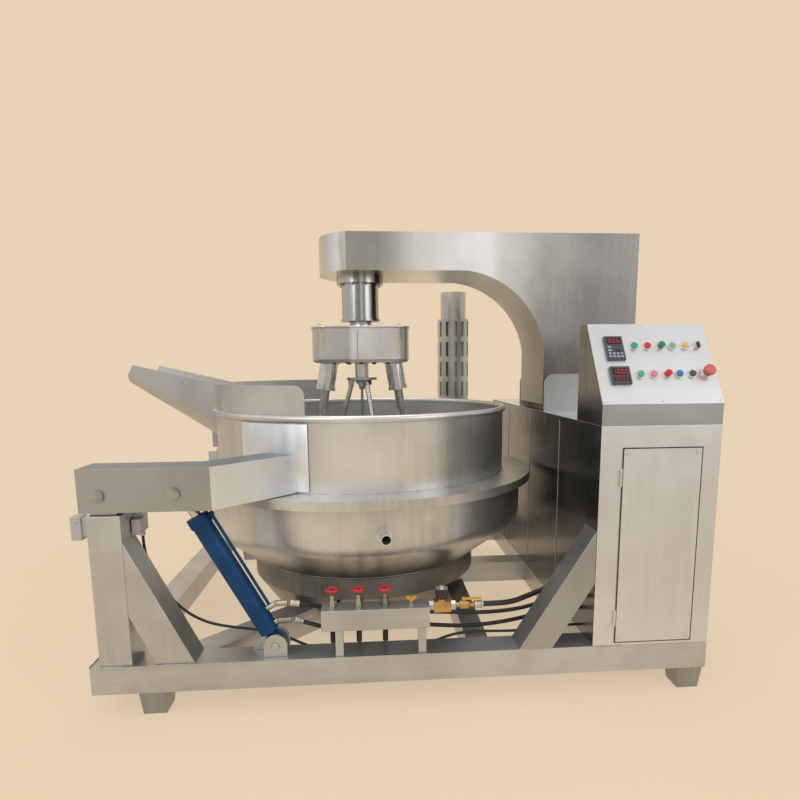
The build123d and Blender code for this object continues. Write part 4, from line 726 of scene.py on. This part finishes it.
def post_bracket():
    """Folded bracket on the outer side of the front post, under the beam's end."""
    bm = bmesh.new()
    slab(bm, (-0.857, -0.770, 0.619), (1, 0, 0), (0, 0, 1), (0.030, 0.072, 0.044))
    slab(bm, (-0.834, -0.770, 0.623), (1, 0, 0), (0, 0, 1), (0.016, 0.060, 0.030))
    bolt(bm, (-0.857, -0.792, 0.640), (0, -1, 0), 0.0045)
    piece("post_bracket", "machine_frame", post_steel, bm, 0.0015)


def head_details():
    """Seam strip, screws and leg collars of the planetary head; nut and clevises of its whisk."""
    bm = bmesh.new()
    for y in (-0.1655, 0.1655):
        slab(bm, (-0.012, y, 1.184), (1, 0, 0), (0, 0, 1), (0.0035, 0.120, 0.0016))
    piece("head_seam", "planet_head", weld_steel, bm, 0.0004)
    bm = bmesh.new()
    spots = [(x, y) for x in (-0.11, -0.055, 0.0, 0.055, 0.11) for y in (-0.1295, 0.1295)]
    spots += [(x, y) for x in (-0.11, 0.11) for y in (-0.08, 0.08)]
    for x, y in spots:
        bolt(bm, (x, y, head_bottom - 0.0002), (0, 0, -1), 0.0075)
    flange_top = 1.261
    for k in range(6):
        a = math.radians(60 * k + 15)
        bolt(bm, (0.060 * math.cos(a), 0.060 * math.sin(a), flange_top), (0, 0, 1), 0.006)
    piece("head_bolts", "planet_head", dark_steel, bm)
    bm = bmesh.new()
    lean = math.radians(9)
    collar = [(0.0388, 0), (0.0412, 0.0006), (0.0412, 0.0052), (0.0388, 0.0058)]
    for side in (-1, 1):
        axis = Vector((side * math.sin(lean), 0, -math.cos(lean)))
        across = Vector((math.cos(lean), 0, side * math.sin(lean)))
        top = Vector((side * 0.140, 0, head_bottom))
        for distance in (0.030, 0.058):
            lathe(bm, top + axis * distance, axis, collar, 40)
        for turn in range(4):
            a = math.radians(45 + 90 * turn)
            out = across * math.cos(a) + Vector((0, math.sin(a), 0))
            bolt(bm, top + axis * 0.098 + out * 0.0385, out, 0.0045)
    piece("leg_collars", "planet_head", bar_steel, bm)
    bm = bmesh.new()
    disc_bottom = 1.0415
    nut = [(0, 0), (0.030, 0), (0.028, 0.010), (0.016, 0.022), (0.012, 0.040), (0, 0.042)]
    lathe(bm, (0, 0, disc_bottom), (0, 0, -1), nut, 6)
    for angle in (180, 300, 60):
        a = math.radians(angle)
        out = Vector((math.cos(a), math.sin(a), 0))
        for tangent in (Vector((-out.y, out.x, 0)), Vector((out.y, -out.x, 0))):
            cheek = out * 0.046 + tangent * 0.0135 + Vector((0, 0, 1.036))
            slab(bm, cheek, out, (0, 0, 1), (0.026, 0.030, 0.004))
            pin_end = out * 0.046 + tangent * 0.0157 + Vector((0, 0, 1.032))
            bolt(bm, pin_end, tangent, 0.005)
    piece("whisk_clevises", "centre_whisk_body", tool_steel, bm, 0.0006)


def kettle_details():
    """Weld rings on the kettle."""
    bm = bmesh.new()
    steps, sides = 180, 8
    for radius, z, swell in ((0.6101, 0.6648, 0.0024), (0.4860, 0.3180, 0.0022)):
        rows = []
        for k in range(steps):
            t = 2 * math.pi * k / steps
            r = swell * random.uniform(0.8, 1.1)
            row = []
            for n in range(sides):
                f = 2 * math.pi * n / sides
                reach = radius + r * math.cos(f)
                place = (reach * math.cos(t), reach * math.sin(t), z + r * math.sin(f))
                row.append(bm.verts.new(place))
            rows.append(row)
        for k in range(steps):
            a, b = rows[k], rows[(k + 1) % steps]
            for n in range(sides):
                m = (n + 1) % sides
                bm.faces.new((a[n], a[m], b[m], b[n]))
    piece("kettle_welds", "kettle", weld_steel, bm, angle=80)


def pin_rings():
    """Turned groove rings on the heads of the pivot pins."""
    bm = bmesh.new()
    for x, z in ((-0.781, 0.721), (-0.560, 0.723)):
        for side in (-1, 1):
            lathe(bm, (x, side * 0.8085, z), (0, side, 0),
                  [(0.0065, 0), (0.0065, 0.0004), (0.0095, 0.0004), (0.0095, 0)], 36)
    piece("pin_rings", "kettle", dark_steel, bm)


def cabinet_details():
    """Folded border of the cabinet's service panel, its hinge barrels and the side seams."""
    bm = bmesh.new()
    panel_front = -frame_front - 0.0015
    for x in (0.829, 1.088):
        slab(bm, (x, panel_front, 0.509), (1, 0, 0), (0, 0, 1), (0.004, 0.650, 0.003))
    for z in (0.184, 0.834):
        slab(bm, (0.9585, panel_front, z), (1, 0, 0), (0, 0, 1), (0.263, 0.004, 0.003))
    piece("panel_border", "machine_frame", dark_steel, bm, 0.0005)
    bm = bmesh.new()
    barrel = [(0, 0), (0.0042, 0), (0.0046, 0.001), (0.0046, 0.0275), (0.0040, 0.028),
              (0.0046, 0.0285), (0.0046, 0.055), (0.0042, 0.056), (0, 0.056)]
    rivet = [(0, 0), (0.004, 0), (0.0036, 0.0014), (0, 0.002)]
    for z in (0.27, 0.74):
        lathe(bm, (0.8235, -0.8005, z - 0.028), (0, 0, 1), barrel, 20)
        for dz in (-0.018, 0.018):
            lathe(bm, (0.812, -frame_front, z + dz), (0, -1, 0), rivet, 16)
    piece("panel_hinges", "machine_frame", bar_steel, bm)
    bm = bmesh.new()
    for y in (-0.40, 0.0, 0.40):
        slab(bm, (cabinet_left - 0.0007, y, 0.54), (0, 1, 0), (0, 0, 1), (0.006, 0.700, 0.0016))
    piece("side_seams", "machine_frame", post_steel, bm, 0.0004)


hose_ends()
console_faces()
weld_seams()
post_bracket()
head_details()
kettle_details()
pin_rings()
cabinet_details()


# ---------------------------------------------------------------- floor and light
BACKDROP = (0.799, 0.651, 0.462)
FLOOR_EVENNESS = 0.72       # share of the floor's colour that no shadow reaches
WORLD_LEVEL = 0.80


def make_stage():
    """A floor that rises into a wall behind the machine, even in colour and softly shadowed."""
    bm = bmesh.new()
    front, back, bend, top, half_width = -9.0, 3.2, 1.5, 7.0, 10.0
    profile = [(front, 0.0), (back, 0.0)]
    profile += [(back + bend * math.sin(a), bend - bend * math.cos(a))
                for a in (math.radians(10 * k) for k in range(1, 10))]
    profile.append((back + bend, top))
    rows = [[bm.verts.new((x, y, z)) for y, z in profile] for x in (-half_width, half_width)]
    for k in range(len(profile) - 1):
        bm.faces.new((rows[0][k], rows[1][k], rows[1][k + 1], rows[0][k + 1])).smooth = True
    mesh = bpy.data.meshes.new("floor")
    bm.to_mesh(mesh)
    bm.free()
    s = Shader("floor", rough=0.9)
    scuffs = s.between(s.noise(0.6, detail=2), 0.3, 0.7, 0, 0.04)
    s.colour(s.mix(scuffs, BACKDROP, (0.70, 0.58, 0.43)))
    s.surface.inputs["Specular IOR Level"].default_value = 0.1
    glow = s.node("ShaderNodeEmission")
    s.join(BACKDROP, glow.inputs["Color"])
    rays = s.node("ShaderNodeLightPath")
    seen = s.calc("ADD", rays.outputs["Is Camera Ray"], rays.outputs["Is Glossy Ray"])
    seen = s.calc("ADD", seen, rays.outputs["Is Transmission Ray"], clamp=True)
    reach = s.node("ShaderNodeVectorMath", operation="LENGTH")
    s.join(s.place, reach.inputs[0])
    even = s.between(reach.outputs["Value"], 1.1, 3.4, FLOOR_EVENNESS, 1.0)
    blend = s.node("ShaderNodeMixShader")
    s.join(s.calc("MULTIPLY", seen, even), blend.inputs[0])
    s.join(s.surface.outputs[0], blend.inputs[1])
    s.join(glow.outputs[0], blend.inputs[2])
    s.join(blend.outputs[0], s.tree.nodes["Material Output"].inputs["Surface"])
    mesh.materials.append(s.material)
    floor = link(bpy.data.objects.new("floor", mesh))


def make_world():
    """Soft daylight from all round, brighter above; the camera sees the backdrop's colour."""
    world = bpy.data.worlds.new("world")
    bpy.context.scene.world = world
    world.use_nodes = True
    tree = world.node_tree
    lit = tree.nodes["Background"]
    place = tree.nodes.new("ShaderNodeTexCoord")
    split = tree.nodes.new("ShaderNodeSeparateXYZ")
    tree.links.new(place.outputs["Generated"], split.inputs[0])
    ramp = tree.nodes.new("ShaderNodeValToRGB")
    stops = [(0.0, (0.62, 0.55, 0.46)), (0.44, (0.56, 0.52, 0.47)),
             (0.58, (0.84, 0.83, 0.81)), (1.0, (1.0, 1.0, 1.0))]
    set_stops(ramp.color_ramp, stops)
    shift = tree.nodes.new("ShaderNodeMath")
    shift.operation = "MULTIPLY_ADD"
    shift.inputs[1].default_value = shift.inputs[2].default_value = 0.5
    tree.links.new(split.outputs["Z"], shift.inputs[0])
    tree.links.new(shift.outputs[0], ramp.inputs["Fac"])
    tree.links.new(ramp.outputs["Color"], lit.inputs["Color"])
    lit.inputs["Strength"].default_value = WORLD_LEVEL
    plain = tree.nodes.new("ShaderNodeBackground")
    plain.inputs["Color"].default_value = (*BACKDROP, 1)
    rays = tree.nodes.new("ShaderNodeLightPath")
    blend = tree.nodes.new("ShaderNodeMixShader")
    tree.links.new(rays.outputs["Is Camera Ray"], blend.inputs[0])
    tree.links.new(lit.outputs[0], blend.inputs[1])
    tree.links.new(plain.outputs[0], blend.inputs[2])
    tree.links.new(blend.outputs[0], tree.nodes["World Output"].inputs["Surface"])


def area_light(name, place, target, size, power):
    """A soft rectangular lamp at a place, turned to its target."""
    data = bpy.data.lights.new(name, "AREA")
    data.shape = "RECTANGLE"
    data.size, data.size_y = size
    data.energy = power
    light = link(bpy.data.objects.new(name, data))
    light.location = place
    light.rotation_mode = "QUATERNION"
    light.rotation_quaternion = (Vector(target) - Vector(place)).to_track_quat("-Z", "Y")


make_stage()
make_world()
area_light("key", (-2.6, -3.4, 3.4), (0, 0, 0.8), (2.4, 2.4), 52)
area_light("fill", (3.4, -3.2, 2.6), (0.2, 0, 0.8), (2.0, 2.6), 30)
area_light("top", (0.2, 0.2, 4.6), (0, 0, 0), (3.0, 3.0), 50)

scene = bpy.context.scene
scene.view_settings.view_transform = "Standard"
